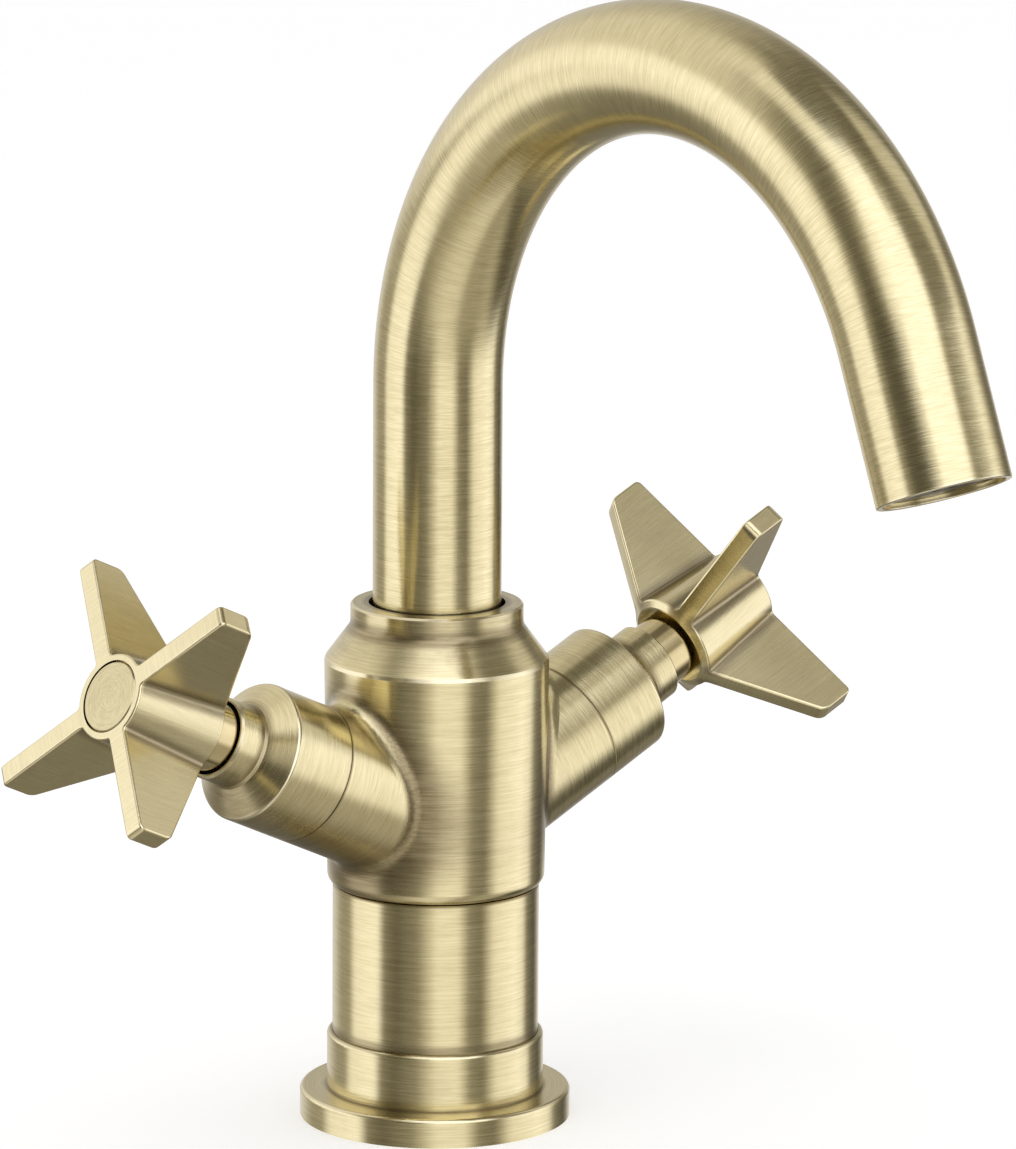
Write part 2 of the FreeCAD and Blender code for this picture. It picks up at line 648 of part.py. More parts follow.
def make_arm_ring(side, name, middle_radius, station):
    """A seal ring on an arm's axis."""
    ring = document.addObject("Part::Torus", name)
    ring.Label = name
    ring.setExpression("Radius1", bound(middle_radius))
    ring.setExpression("Radius2", bound("ring_section"))
    document.recompute()
    along = FreeCAD.Placement(FreeCAD.Vector(0, 0, number(station)), FreeCAD.Rotation())
    ring.Placement = arm_placement(side).multiply(along)
    return ring


def make_bonnet(side, name):
    """Turned cover over the valve: skirt, coned end face and a neck round the stem."""
    body = new_body(name)
    inner = "arm_radius - bonnet_wall"
    ceiling = "bonnet_shoulder - bonnet_wall"
    turned(body, "cover", [
        (inner, "arm_seam"), ("arm_radius", "arm_seam"), ("arm_radius", "bonnet_shoulder"),
        ("bonnet_neck_radius", "bonnet_neck_foot"), ("bonnet_neck_radius", "bonnet_neck_end"),
        ("bonnet_neck_bore", "bonnet_neck_end"), ("bonnet_neck_bore", ceiling), (inner, ceiling)])
    rounded(body, "shoulder_edge", "bonnet_shoulder_round", ring_at("arm_radius", "bonnet_shoulder"))
    chamfered(body, "rim_edge", "edge_break", ring_at("bonnet_neck_radius", "bonnet_neck_end"))
    chamfered(body, "neck_hollow", "edge_break", ring_at("bonnet_neck_radius", "bonnet_neck_foot"))
    chamfered(body, "seam_edge", "edge_break / 2", ring_at("arm_radius", "arm_seam"))
    body.Placement = arm_placement(side)
    return body


# ---------------------------------------------------------------- handles


def make_cross(side, name, rest_angle):
    """Coned hub with finned arms. The fins' front edges are flush with the hub's front face."""
    body = new_body(name)
    rear = sector_sketch(body, "rear_sector", "hub_rear", "hub_rear_radius")
    front = sector_sketch(body, "front_sector", "hub_front", "hub_front_radius")
    sector = body.newObject("PartDesign::AdditiveLoft", "sector")
    sector.Profile = rear
    sector.Sections = [front]
    sector.Ruled = True
    finish_feature(body, False, sector)
    slope_fin(body)
    round_fin(body)
    repeated(body, "fins", [], "fin_count")
    cut_hub(body)
    body.Placement = arm_placement(side, rest_angle)
    return body


def sector_sketch(body, name, station, hub_radius):
    """One fin with its share of the hub, seen along the axis, blended at the root."""
    half = "(fin_thickness / 2)"
    blend_side = f"({half} + hub_blend)"
    blend_out = f"sqrt(({hub_radius} + hub_blend)^2 - {blend_side}^2)"
    share = f"({hub_radius} / ({hub_radius} + hub_blend))"
    split = "(180 / fin_count)"
    corners = []
    for sign in ("-", ""):
        on_hub = (f"{hub_radius} * cos({split})", f"{sign}{hub_radius} * sin({split})")
        leaves_hub = (f"{blend_out} * {share}", f"{sign}{blend_side} * {share}")
        on_fin = (blend_out, sign + half)
        tip = ("fin_reach", sign + half)
        centre = (blend_out, sign + blend_side)
        corners.append((on_hub, leaves_hub, on_fin, tip, centre))
    hub = ("0", "0")
    first, second = corners
    points = [
        hub, first[0] + (hub,), first[1] + (first[4],), first[2], first[3],
        second[3], second[2] + (second[4],), second[1] + (hub,), second[0]]
    return outline_sketch(body, name, points, "XY_Plane", {"z": station})


def slope_fin(body):
    """Cut the rear edge, which rises from the rim round the stem's recess to the fin's tip."""
    start = "(recess_radius + edge_break)"
    beyond = "(fin_reach + 1)"
    slope = f"(fin_rear_tip - hub_rear) / (fin_reach - {start})"
    away_from_fin = (FreeCAD.Vector(0, 1, 0), "180")
    turned(body, "rear_slope", [
        (start, "hub_rear - 1"), (beyond, "hub_rear - 1"),
        (beyond, f"hub_rear + {slope} * ({beyond} - {start})"), (start, "hub_rear")],
        cut=True, turn=away_from_fin)


def round_fin(body):
    """Round the tip's two corners, then the long edges from the tip to the hub."""
    reach = number("fin_reach")
    thickness = number("fin_thickness")

    def tip_corner(station):
        def test(edge):
            middle = edge.BoundBox.Center
            at_tip = near(middle.x, reach, 0.2) and near(middle.z, number(station), 0.2)
            return at_tip and near(edge.Length, thickness, 0.1)
        return test

    def long_edge(edge):
        middle = edge.valueAt((edge.FirstParameter + edge.LastParameter) / 2)
        return near(abs(middle.y), thickness / 2, 0.01) and middle.x > number("hub_rear_radius") * 1.1

    rounded(body, "tip_front", "fin_front_round", tip_corner("hub_front"))
    rounded(body, "tip_rear", "fin_rear_round", tip_corner("fin_rear_tip"))
    rounded(body, "long_edges", "fin_edge_round", long_edge)


def cut_hub(body):
    """Rear recess and stem socket, hole for the screw, pocket for its head, seat of the cap."""
    stem = "stem_radius + fit_gap"
    hole = "screw_radius + fit_gap * 4"
    seat = "cap_radius + cap_groove"
    floor = "hub_front - cap_height"
    turned(body, "hub_bore", [
        ("0", "hub_rear"), ("recess_radius", "hub_rear"), ("recess_radius", "hub_rear + recess_depth"),
        (stem, "hub_rear + recess_depth"), (stem, "stem_end"), (hole, "stem_end"),
        (hole, "screw_seat"), ("head_pocket_radius", "screw_seat"), ("head_pocket_radius", floor),
        (seat, floor), (seat, "hub_front"), ("0", "hub_front")], cut=True)


def make_stem(side, name, rest_angle):
    """Polished stem that the cross sits on, with a square socket for the spindle."""
    body = new_body(name)
    shelf = SQUARE_FOOT + " + axial_gap"
    hole = "screw_radius + fit_gap * 4"
    turned(body, "stem", [
        (hole, shelf), ("stem_radius", shelf), ("stem_radius", "stem_end"), (hole, "stem_end")])
    half = "(spindle_square / 2 + fit_gap)"
    corners = [("-" + half, "-" + half), (half, "-" + half), (half, half), ("-" + half, half)]
    socket = outline_sketch(body, "socket_outline", corners, "XY_Plane", {"z": "spindle_end + fit_gap"})
    padded(body, "socket", socket, "spindle_end - " + SQUARE_FOOT, cut=True)
    chamfered(body, "end_edge", "edge_break", ring_at("stem_radius", "stem_end"))
    body.Placement = arm_placement(side, rest_angle)
    return body


def make_screw(side, name, rest_angle):
    """Socket head screw that clamps the cross and the stem on the spindle."""
    body = new_body(name)
    top = "screw_seat + screw_head_height"
    turned(body, "screw", [
        ("0", "screw_seat - screw_length"), ("screw_radius", "screw_seat - screw_length"),
        ("screw_radius", "screw_seat"), ("screw_head_radius", "screw_seat"),
        ("screw_head_radius", top), ("0", top)])
    socket = hexagon_sketch(body, "socket_outline", "screw_socket", {"z": top})
    padded(body, "socket", socket, "screw_head_height * 0.6", cut=True)
    body.Placement = arm_placement(side, rest_angle)
    return body


def make_cap(side, name, rest_angle):
    """Bare cap over the screw, flush with the hub's front face."""
    body = new_body(name)
    disc = circle_sketch(body, "cap_outline", ["cap_radius"], offset={"z": "hub_front - cap_height"})
    padded(body, "cap", disc, "cap_height")
    chamfered(body, "cap_edge", "edge_break / 2", ring_at("cap_radius", "hub_front"))
    body.Placement = arm_placement(side, rest_angle)
    return body


# ---------------------------------------------------------------- spout

TUBE_FOOT = "(neck_floor + glide_height + axial_gap + foot_height)"


def make_spout_tube():
    """Gooseneck: a straight rise, one large arch and a short straight tail."""
    body = new_body("spout_tube")
    wall = circle_sketch(body, "section", ["tube_radius", "tube_radius - tube_wall"], offset={"z": TUBE_FOOT})
    path = body.newObject("Sketcher::SketchObject", "path")
    attach(path, body, "YZ_Plane")
    sweep = math.radians(number("arch_sweep"))
    radius = number("arch_radius")
    foot = FreeCAD.Vector(0, number(TUBE_FOOT), 0)
    spring = FreeCAD.Vector(0, number("arch_foot"), 0)
    centre = spring + FreeCAD.Vector(-radius, 0, 0)
    end = centre + FreeCAD.Vector(math.cos(sweep), math.sin(sweep), 0) * radius
    tail = end + FreeCAD.Vector(-math.sin(sweep), math.cos(sweep), 0) * number("tail_length")
    circle = Part.Circle(centre, FreeCAD.Vector(0, 0, 1), radius)
    path.addGeometry(Part.LineSegment(foot, spring), False)
    path.addGeometry(Part.ArcOfCircle(circle, 0.0, sweep), False)
    path.addGeometry(Part.LineSegment(end, tail), False)
    path.addConstraint(Sketcher.Constraint("PointOnObject", 0, 1, -2))
    path.addConstraint(Sketcher.Constraint("Vertical", 0))
    path.addConstraint(Sketcher.Constraint("Tangent", 0, 2, 1, 1))
    path.addConstraint(Sketcher.Constraint("Tangent", 1, 2, 2, 1))
    for constraint, formula in (
            (Sketcher.Constraint("DistanceY", -1, 1, 0, 1, foot.y), TUBE_FOOT),
            (Sketcher.Constraint("DistanceY", -1, 1, 0, 2, spring.y), "arch_foot"),
            (Sketcher.Constraint("Radius", 1, radius), "arch_radius"),
            (Sketcher.Constraint("DistanceY", 0, 2, 1, 2, end.y - spring.y), "arch_radius * sin(arch_sweep)"),
            (Sketcher.Constraint("Distance", 2, number("tail_length")), "tail_length")):
        place = path.addConstraint(constraint)
        path.setExpression(f"Constraints[{place}]", bound(formula))
    pipe = body.newObject("PartDesign::AdditivePipe", "gooseneck")
    pipe.Profile = wall
    pipe.Spine = path
    finish_feature(body, False, pipe)
    return body


def tip_placement():
    """Stands a piece in the spout's tip: its Z axis runs from the outlet up into the tube."""
    sweep = math.radians(number("arch_sweep"))
    radius = number("arch_radius")
    tail = number("tail_length")
    across = -radius + radius * math.cos(sweep) - tail * math.sin(sweep)
    height = number("arch_foot") + radius * math.sin(sweep) + tail * math.cos(sweep)
    inwards = FreeCAD.Vector(0, math.sin(sweep), -math.cos(sweep))
    turn = FreeCAD.Rotation(FreeCAD.Vector(0, 0, 1), inwards)
    return FreeCAD.Placement(FreeCAD.Vector(0, across, height), turn)


def make_spout_foot():
    """Turned foot: spigot in the tube, collar on the glide ring, grooved journal in the socket."""
    body = new_body("spout_foot")
    collar = "neck_floor + glide_height + axial_gap"
    spigot = "tube_radius - tube_wall - fit_gap"
    turned(body, "foot", [
        ("foot_bore", "journal_end"), ("journal_radius", "journal_end"), ("journal_radius", collar),
        ("tube_radius", collar), ("tube_radius", TUBE_FOOT), (spigot, TUBE_FOOT),
        (spigot, TUBE_FOOT + " + foot_spigot"), ("foot_bore", TUBE_FOOT + " + foot_spigot")])
    for name, height in (("lower_groove", "lower_ring_height"), ("upper_groove", "upper_ring_height")):
        bottom = "journal_radius - ring_section * 2"
        low = height + " - ring_section - fit_gap"
        high = height + " + ring_section + fit_gap"
        turned(body, name, rectangle(bottom, "journal_radius + 1", low, high), cut=True)
    bottom = "journal_radius - snap_depth - fit_gap"
    high = "snap_floor + snap_height + fit_gap"
    snap = rectangle(bottom, "journal_radius + 1", "snap_floor - fit_gap", high)
    turned(body, "snap_groove", snap, cut=True)
    return body


def make_snap_ring():
    """Open spring ring that keeps the spout in its socket."""
    body = new_body("spout_snap_ring")
    inner = "journal_radius - snap_depth"
    outer = "journal_radius + snap_reach"
    turned(body, "ring", rectangle(inner, outer, "snap_floor", "snap_floor + snap_height"))
    far = "journal_radius * 2"
    side = far + " * tan(snap_opening / 2)"
    corners = [("0", "0"), (far, "-" + side), (far, side)]
    mouth = outline_sketch(body, "mouth_outline", corners, "XY_Plane", {"z": "snap_floor + snap_height"})
    padded(body, "mouth", mouth, "snap_height * 2", cut=True)
    return body


def make_glide_ring():
    """Plastic ring on the ledge, which the spout's collar turns on."""
    body = new_body("glide_ring")
    inner = "journal_radius + running_gap * 4"
    outer = "tube_radius + neck_gap - fit_gap"
    turned(body, "ring", rectangle(inner, outer, "neck_floor", "neck_floor + glide_height"))
    return body


NOZZLE_OUTSIDE = "(tube_radius - tube_wall - fit_gap)"
INSERT_OUTSIDE = "(" + NOZZLE_OUTSIDE + " - nozzle_wall - fit_gap)"


def make_nozzle_ring():
    """Ring fixed in the tube's end, with the shoulder that the aerator's washer seats on."""
    body = new_body("nozzle_ring")
    inner = NOZZLE_OUTSIDE + " - nozzle_wall"
    top = "nozzle_recess + nozzle_length"
    turned(body, "ring", [
        (inner, "nozzle_recess"), (NOZZLE_OUTSIDE, "nozzle_recess"), (NOZZLE_OUTSIDE, top),
        (inner + " - nozzle_stop", top), (inner + " - nozzle_stop", top + " - nozzle_stop"),
        (inner, top + " - nozzle_stop")])
    body.Placement = tip_placement()
    return body


def make_aerator_insert():
    """Cup with a perforated floor, open towards the tube."""
    body = new_body("aerator_insert")
    inner = INSERT_OUTSIDE + " - insert_wall"
    top = "insert_recess + insert_length"
    floor = "insert_recess + insert_floor"
    turned(body, "cup", [
        ("0", "insert_recess"), (INSERT_OUTSIDE, "insert_recess"), (INSERT_OUTSIDE, top),
        (inner, top), (inner, floor), ("0", floor)])
    start = {"x": "jet_circle", "z": "insert_recess"}
    outer = drilled(body, "outer_jet", "jet_radius", "insert_floor", start)
    repeated(body, "outer_jets", [outer], "jet_count")
    start = {"x": "jet_circle / 2", "z": "insert_recess"}
    inner_jet = drilled(body, "inner_jet", "jet_radius", "insert_floor", start)
    repeated(body, "inner_jets", [inner_jet], "jet_count / 2")
    body.Placement = tip_placement()
    return body


def make_aerator_seal():
    """Washer between the insert and the nozzle ring's shoulder."""
    body = new_body("aerator_seal")
    low = "insert_recess + insert_length"
    high = "nozzle_recess + nozzle_length - nozzle_stop"
    turned(body, "washer", rectangle(INSERT_OUTSIDE + " - nozzle_stop", INSERT_OUTSIDE, low, high))
    body.Placement = tip_placement()
    return body


# ---------------------------------------------------------------- assembly


def make_side(side, suffix, rest_angle):
    """Everything on one arm. The valve body and bonnet stand still, the rest turns."""
    journal_ring = "spindle_radius - ring_section + running_gap / 2"
    return [
        make_seat_seal(side, "seat_seal_" + suffix),
        make_disc(side, "fixed_disc_" + suffix, NOSE_FOOT, "0"),
        make_valve_body(side, "valve_body_" + suffix),
        make_bonnet(side, "bonnet_" + suffix),
        make_disc(side, "moving_disc_" + suffix, MOVING_DISC_FOOT, "90"),
        make_spindle(side, "spindle_" + suffix, rest_angle),
        make_arm_ring(side, "spindle_ring_" + suffix, journal_ring, "ring_station"),
        make_spindle_clip(side, "spindle_clip_" + suffix, rest_angle),
        make_stem(side, "handle_stem_" + suffix, rest_angle),
        make_cross(side, "handle_cross_" + suffix, rest_angle),
        make_screw(side, "handle_screw_" + suffix, rest_angle),
        make_cap(side, "handle_cap_" + suffix, rest_angle),
    ]


def make_spout():
    """The swivelling spout and what it carries."""
    ring_radius = "journal_radius - ring_section + running_gap / 2"
    return [
        make_spout_tube(),
        make_spout_foot(),
        seal_ring("spout_ring_lower", ring_radius, "lower_ring_height"),
        seal_ring("spout_ring_upper", ring_radius, "upper_ring_height"),
        make_snap_ring(),
        make_nozzle_ring(),
        make_aerator_insert(),
        make_aerator_seal(),
    ]


def check(parts):
    """Stop before anything is written if an object failed or a shape is empty or invalid."""
    document.recompute()
    failed = [item.Label for item in document.Objects if {"Invalid", "Error"} & set(item.State)]
    if failed:
        raise RuntimeError("failed objects: " + ", ".join(failed))
    for part in parts:
        if part.Shape.isNull() or not part.Shape.isValid() or not part.Shape.Solids:
            raise RuntimeError(part.Label + " has no valid solid")


def main():
    parts = [make_base_flange(), make_base_seal(), make_column_sleeve(), make_casting(), make_glide_ring()]
    parts += make_spout()
    parts += make_side(-1, "left", "left_rest_angle")
    parts += make_side(1, "right", "right_rest_angle")
    check(parts)
    os.makedirs("parts", exist_ok=True)
    for part in parts:
        part.Shape.exportStep(f"parts/{part.Label}.step")
        box = part.Shape.BoundBox
        print(f"{part.Label:20s} {part.Shape.Volume:10.1f} mm3  z {box.ZMin:7.2f} {box.ZMax:7.2f}")


main()
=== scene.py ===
# %% [markdown] # A cross handle tap in brushed antique brass This notebook dresses a finished CAD
# model. The model already has the right shapes and sizes, and it moves: the spout swivels and both
# handles turn. What it lacks is a finish. We give each piece its metal, build a studio for the
# metal to mirror, and make one piece again, the gooseneck, so that its brush lines can follow its
# bend. All lengths are in metres.

# %% Load the CAD model
import functools
import json
import math
from collections import namedtuple
import bpy
from mathutils import Euler, Matrix, Vector


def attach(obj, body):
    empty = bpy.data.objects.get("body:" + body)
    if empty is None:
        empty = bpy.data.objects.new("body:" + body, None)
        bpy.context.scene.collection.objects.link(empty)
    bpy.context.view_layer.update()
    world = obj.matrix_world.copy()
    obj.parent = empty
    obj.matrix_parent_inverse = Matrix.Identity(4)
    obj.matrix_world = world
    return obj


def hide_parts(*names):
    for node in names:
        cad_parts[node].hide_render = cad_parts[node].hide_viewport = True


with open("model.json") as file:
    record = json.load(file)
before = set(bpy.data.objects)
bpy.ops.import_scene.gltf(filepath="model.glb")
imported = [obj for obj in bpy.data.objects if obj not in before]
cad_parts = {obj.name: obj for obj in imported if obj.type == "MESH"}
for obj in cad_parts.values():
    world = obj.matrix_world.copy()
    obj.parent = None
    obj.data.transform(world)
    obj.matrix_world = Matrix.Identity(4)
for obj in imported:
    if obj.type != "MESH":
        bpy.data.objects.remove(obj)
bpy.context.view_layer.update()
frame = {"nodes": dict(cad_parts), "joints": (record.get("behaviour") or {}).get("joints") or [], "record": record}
nodes = frame["nodes"]
print("CAD pieces:", len(nodes))

# %% [markdown]
# ## The axes that everything follows
# A turned piece has an axis, and its brush lines run round that axis. The column's axis is the Z
# axis. Each arm's axis starts on the column's centre line and leans 24.9 degrees above the
# horizontal. The point where the arms cross the column could be written down here too, but the
# record's joints already hold it, so we read it from one of them. The joint's own axis shows
# whether the lean is right.

# %% The axes of the arms
handle_joint = next(joint for joint in frame["joints"] if joint["name"] == "handle_right_turn")
ARM_CENTRE = Vector(handle_joint["pos_m"])
ARM_TILT = math.radians(24.9)
# How far each handle is turned round its arm at rest.
REST_TURN = {"left": math.radians(41.4), "right": math.radians(42.6)}


def arm_turn(side):
    """The rotation that lays an upright piece on an arm, as a handle rests."""
    sign = -1 if side == "left" else 1
    lean = Matrix.Rotation(sign * (math.pi / 2 - ARM_TILT), 3, "Y")
    return lean @ Matrix.Rotation(REST_TURN[side], 3, "Z")


joint_tilt = math.degrees(math.asin(abs(handle_joint["axis"][2])))
print("the arms cross the column at", [round(value, 4) for value in ARM_CENTRE])
print("the joint's axis leans by", round(joint_tilt, 2), "degrees")

# %% [markdown]
# ## Shader maths written as Python
# A material is a graph of small nodes. A formula such as `a * b + 1` could be written out node by
# node, but then it takes a line for every node, setting and link. The class below wraps a socket,
# so that Python's own operators add the Math nodes for us, and the formula stays readable.
# `Graph.add` makes every other kind of node: first its settings, then its sockets.

# %% A socket that does arithmetic
class Value:
    """A number that changes over a surface."""

    def __init__(self, graph, socket):
        self.graph = graph
        self.socket = socket

    def math(self, operation, *others):
        inputs = dict(enumerate((self, *others)))
        return self.graph.add("ShaderNodeMath", {"operation": operation}, inputs)

    def __add__(self, other):
        return self.math("ADD", other)

    def __mul__(self, other):
        return self.math("MULTIPLY", other)

    def __sub__(self, other):
        return self.math("SUBTRACT", other)

    def __rsub__(self, other):
        return self * -1 + other

    def __truediv__(self, other):
        return self.math("DIVIDE", other)

    def __abs__(self):
        return self.math("ABSOLUTE")

    __radd__ = __add__
    __rmul__ = __mul__

    def root(self):
        return self.math("SQRT")

    def least(self, other):
        return self.math("MINIMUM", other)

    def most(self, other):
        return self.math("MAXIMUM", other)

    def fade(self, start, end):
        """0 at start, 1 at end, smooth between them."""
        settings = {"interpolation_type": "SMOOTHSTEP"}
        inputs = {"Value": self, "From Min": start, "From Max": end}
        return self.graph.add("ShaderNodeMapRange", settings, inputs, "Result")


print("a Value knows", [name for name in vars(Value) if not name.startswith("_")])


# %% A graph of nodes
class Graph:
    """The nodes of a material, a world or a geometry tree."""

    def __init__(self, tree):
        self.tree = tree

    def add(self, kind, settings, inputs, output=0):
        """Add a node, set its settings, then its sockets. Returns one output."""
        node = self.tree.nodes.new(kind)
        for name, value in settings.items():
            setattr(node, name, value)
        for name, value in inputs.items():
            if isinstance(value, Value):
                self.tree.links.new(value.socket, node.inputs[name])
            else:
                node.inputs[name].default_value = value
        return Value(self, node.outputs[output])

    def split(self, vector):
        """The three parts of a vector."""
        node = self.add("ShaderNodeSeparateXYZ", {}, {0: vector}).socket.node
        return [Value(self, part) for part in node.outputs]

    def join(self, *parts):
        """A vector from three numbers."""
        return self.add("ShaderNodeCombineXYZ", {}, dict(enumerate(parts)))

    def blend(self, factor, first, second):
        """A colour between two colours. The sockets 6, 7 and 2 are the node's colour ones."""
        settings = {"data_type": "RGBA", "clamp_factor": True}
        return self.add("ShaderNodeMix", settings, {0: factor, 6: first, 7: second}, 2)

    def noise(self, vector, scale, detail, roughness, fourth=None):
        """Cloudy noise, between 0 and 1, in three dimensions or in four."""
        inputs = {"Vector": vector, "Scale": scale, "Detail": detail, "Roughness": roughness}
        if fourth is not None:
            inputs["W"] = fourth
        settings = {"noise_dimensions": "4D" if fourth is not None else "3D"}
        return self.add("ShaderNodeTexNoise", settings, inputs)


class Finish(Graph):
    """The nodes of one material."""

    def __init__(self, name):
        self.material = bpy.data.materials.new(name)
        self.material.use_nodes = True
        super().__init__(self.material.node_tree)

    def spot(self):
        """Where a point lies on the object, in metres."""
        return self.add("ShaderNodeTexCoord", {}, {}, "Object")

    def close(self, **inputs):
        """Set or link the shader's own sockets."""
        shader = self.tree.nodes["Principled BSDF"]
        for name, value in inputs.items():
            socket = shader.inputs[name.replace("_", " ")]
            if isinstance(value, Value):
                self.tree.links.new(value.socket, socket)
            else:
                socket.default_value = value
        return self.material


print("a Finish knows", [name for name in vars(Finish) if not name.startswith("_")])

# %% [markdown]
# ## Brushed antique brass
# The real tap is brass, stained dark and then brushed. The brush leaves fine lines that run round
# each turned piece, and the stain stays in hollows and seams. So the finish has three layers:
#
# - **Colour**: olive brown brass, with darker patina in the seams, painted shade under the arms and
#   round their roots, and paler metal on rubbed edges.
# - **Lines**: noise that is stretched round the piece, more than tenfold on all but the smallest.
#   It changes the roughness, and a bump node makes each line catch the light.
# - **Wear**: broad, faint clouds, because no hand-rubbed finish is even.
#
# The lines could come from a picture of scratched metal, but a picture has to be wrapped round
# each piece and shows a seam where its ends meet. Noise needs no wrapping, and its lines stay as
# fine on a small piece as on a large one, so we chose noise.

# %% The metal
BRASS_LOW, BRASS_HIGH = (0.43, 0.36, 0.176, 1), (0.75, 0.66, 0.38, 1)
STAIN = (0.42, 0.33, 0.19, 1)
# The dark colour of patina in the seams, also used as painted shade under the arms and round their roots.
PATINA_AND_PAINTED_SHADE = (0.17, 0.125, 0.06, 1)
RUBBED = (0.80, 0.72, 0.50, 1)
# How strongly lines and clouds move the colour from the lower brass to the higher one.
LINE_CONTRAST, CLOUD_CONTRAST, MIDDLE_BRASS = 1.35, 0.4, 0.58
STAINED_SHARE = 0.35
# Roughness of a bright spot, and what lines, clouds, patina and painted shade add to it.
SMOOTHEST, LINE_ROUGHNESS, CLOUD_ROUGHNESS, DARK_PLACE_ROUGHNESS = 0.115, 0.12, 0.04, 0.15
LINE_DEPTH, LINE_STRENGTH = 0.000045, 0.34


def metal(graph, lines, clouds, dark=None, pale=None):
    """Join lines, clouds and the masks of dark and pale places into one metal."""
    streaks = (lines - 0.5) * LINE_CONTRAST + (clouds - 0.5) * CLOUD_CONTRAST + MIDDLE_BRASS
    colour = graph.blend(streaks, BRASS_LOW, BRASS_HIGH)
    colour = graph.blend(clouds.fade(0.55, 0.80) * STAINED_SHARE, colour, STAIN)
    rough = lines * LINE_ROUGHNESS + clouds * CLOUD_ROUGHNESS + SMOOTHEST
    if dark is not None:
        # The brush takes some of the patina and of the painted shade off again, along its lines.
        colour = graph.blend(dark * (1.4 - lines * 0.8), colour, PATINA_AND_PAINTED_SHADE)
        rough = rough + dark * DARK_PLACE_ROUGHNESS
    if pale is not None:
        colour = graph.blend(pale, colour, RUBBED)
    bump = graph.add("ShaderNodeBump", {}, {
        "Strength": LINE_STRENGTH, "Distance": LINE_DEPTH, "Height": lines})
    return graph.close(Base_Color=colour, Roughness=rough, Metallic=1.0, Normal=bump,
                       Anisotropic=0.6, Anisotropic_Rotation=0.25,
                       Coat_Weight=0.12, Coat_Roughness=0.25)


print("the bump of a full line is", round(LINE_DEPTH * 1e6), "micrometres")

# %% [markdown]
# ## Finding the way round a turned piece
# On a lathe the brush stays still and the piece turns under it, so a line has one height and one
# radius all the way round. The material therefore has to know, for each point, its direction round
# the axis, its height along the axis and its radius. A Mapping node lays the axis upright first,
# and the rest is school geometry.
#
# The noise is four-dimensional. Three dimensions follow the direction round the axis and the
# height, and the fourth follows the radius, so that flat end faces get rings too. With three
# dimensions only, those faces would come out plain.

# %% Places on a turned piece
TurnedPlace = namedtuple("TurnedPlace", "to_x to_y height radius")
# Square metres, so small that it only keeps points on the axis itself from a division by zero.
ON_AXIS = 1e-10


def along_axis(graph, spot, centre, turn):
    """A place as two distances across an axis and one along it, in metres."""
    back = turn.transposed()
    inputs = {"Vector": spot, "Location": -(back @ centre), "Rotation": back.to_euler()}
    return graph.split(graph.add("ShaderNodeMapping", {}, inputs))


def turned_place(graph, spot, centre, turn):
    """Direction round an axis, height along it and radius."""
    x, y, height = along_axis(graph, spot, centre, turn)
    radius = (x * x + y * y + ON_AXIS).root()
    return TurnedPlace(x / radius, y / radius, height, radius)


print("a turned place has", TurnedPlace._fields)

# %% Lines and wear
# FINE is how often the lines change over a metre along a piece or outwards. SPREAD is how often
# they change while the direction round the piece moves by one radian, so they are long that way.
FINE, SPREAD = 3200.0, 2.4
WEAR_SCALE = 95.0


def brush_noise(graph, vector, fourth=None):
    """Noise for brush lines, whose vector is already stretched."""
    return graph.noise(vector, 1.0, 3.0, 0.65, fourth)


def ring_lines(graph, place):
    """Brush lines round an axis."""
    vector = graph.join(place.to_x * SPREAD, place.to_y * SPREAD, place.height * FINE)
    return brush_noise(graph, vector, place.radius * FINE)


def wear(graph, spot):
    """Patches of uneven rubbing, about a centimetre wide."""
    return graph.noise(spot, WEAR_SCALE, 3.0, 0.6)


print("at a radius of 10 mm the lines are stretched", round(0.01 * FINE / SPREAD, 1), "times")

# %% Seams, edges and undersides
def near(place, spots):
    """1 at each spot, fading to 0 at its reach. A spot is a radius, a height and a reach."""
    masks = []
    for spot_radius, spot_height, reach in spots:
        off = place.radius - spot_radius
        up = place.height - spot_height
        masks.append((off * off + up * up).root().fade(reach, reach * 0.2))
    return functools.reduce(Value.most, masks)


def lowest_line(turn):
    """The direction across an arm's axis that points down most."""
    return (turn.transposed() @ Vector((0, 0, -1))).xy.normalized()


def underside(place, turn):
    """0 at the sides of an arm, growing to 1 along its lowest line."""
    down = lowest_line(turn)
    return (place.to_x * down.x + place.to_y * down.y).fade(0.3, 0.95)


# Heights along an arm: where the bonnet ends, and where the cap starts.
BONNET_FADE, CAP_FADE = (0.0620, 0.0612), (0.0850, 0.0860)


def underside_shade_and_dark_cap(place, turn):
    """Painted shade along a bonnet's lowest line, and a faint even darkening of the cap."""
    on_bonnet = place.height.fade(*BONNET_FADE)
    on_cap = place.height.fade(*CAP_FADE)
    return (underside(place, turn) * on_bonnet * 0.6).most(on_cap * 0.2)


for side in ("left", "right"):
    down = lowest_line(arm_turn(side))
    print(side, "arm's lowest line lies towards", [round(value, 2) for value in down])

# %% [markdown]
# ## The turned pieces
# The flange with its collar, the sleeve, the bonnets and the caps were all turned, so one function
# makes their brass. A piece needs only its axis and a short list of the rings where stain collects
# or where hands and cloths have rubbed an edge. Dark places could also be found from the shape,
# with an ambient occlusion node, but that node costs time and changes when a handle turns. A ring
# is a radius and a height, so we name it once and it stays.

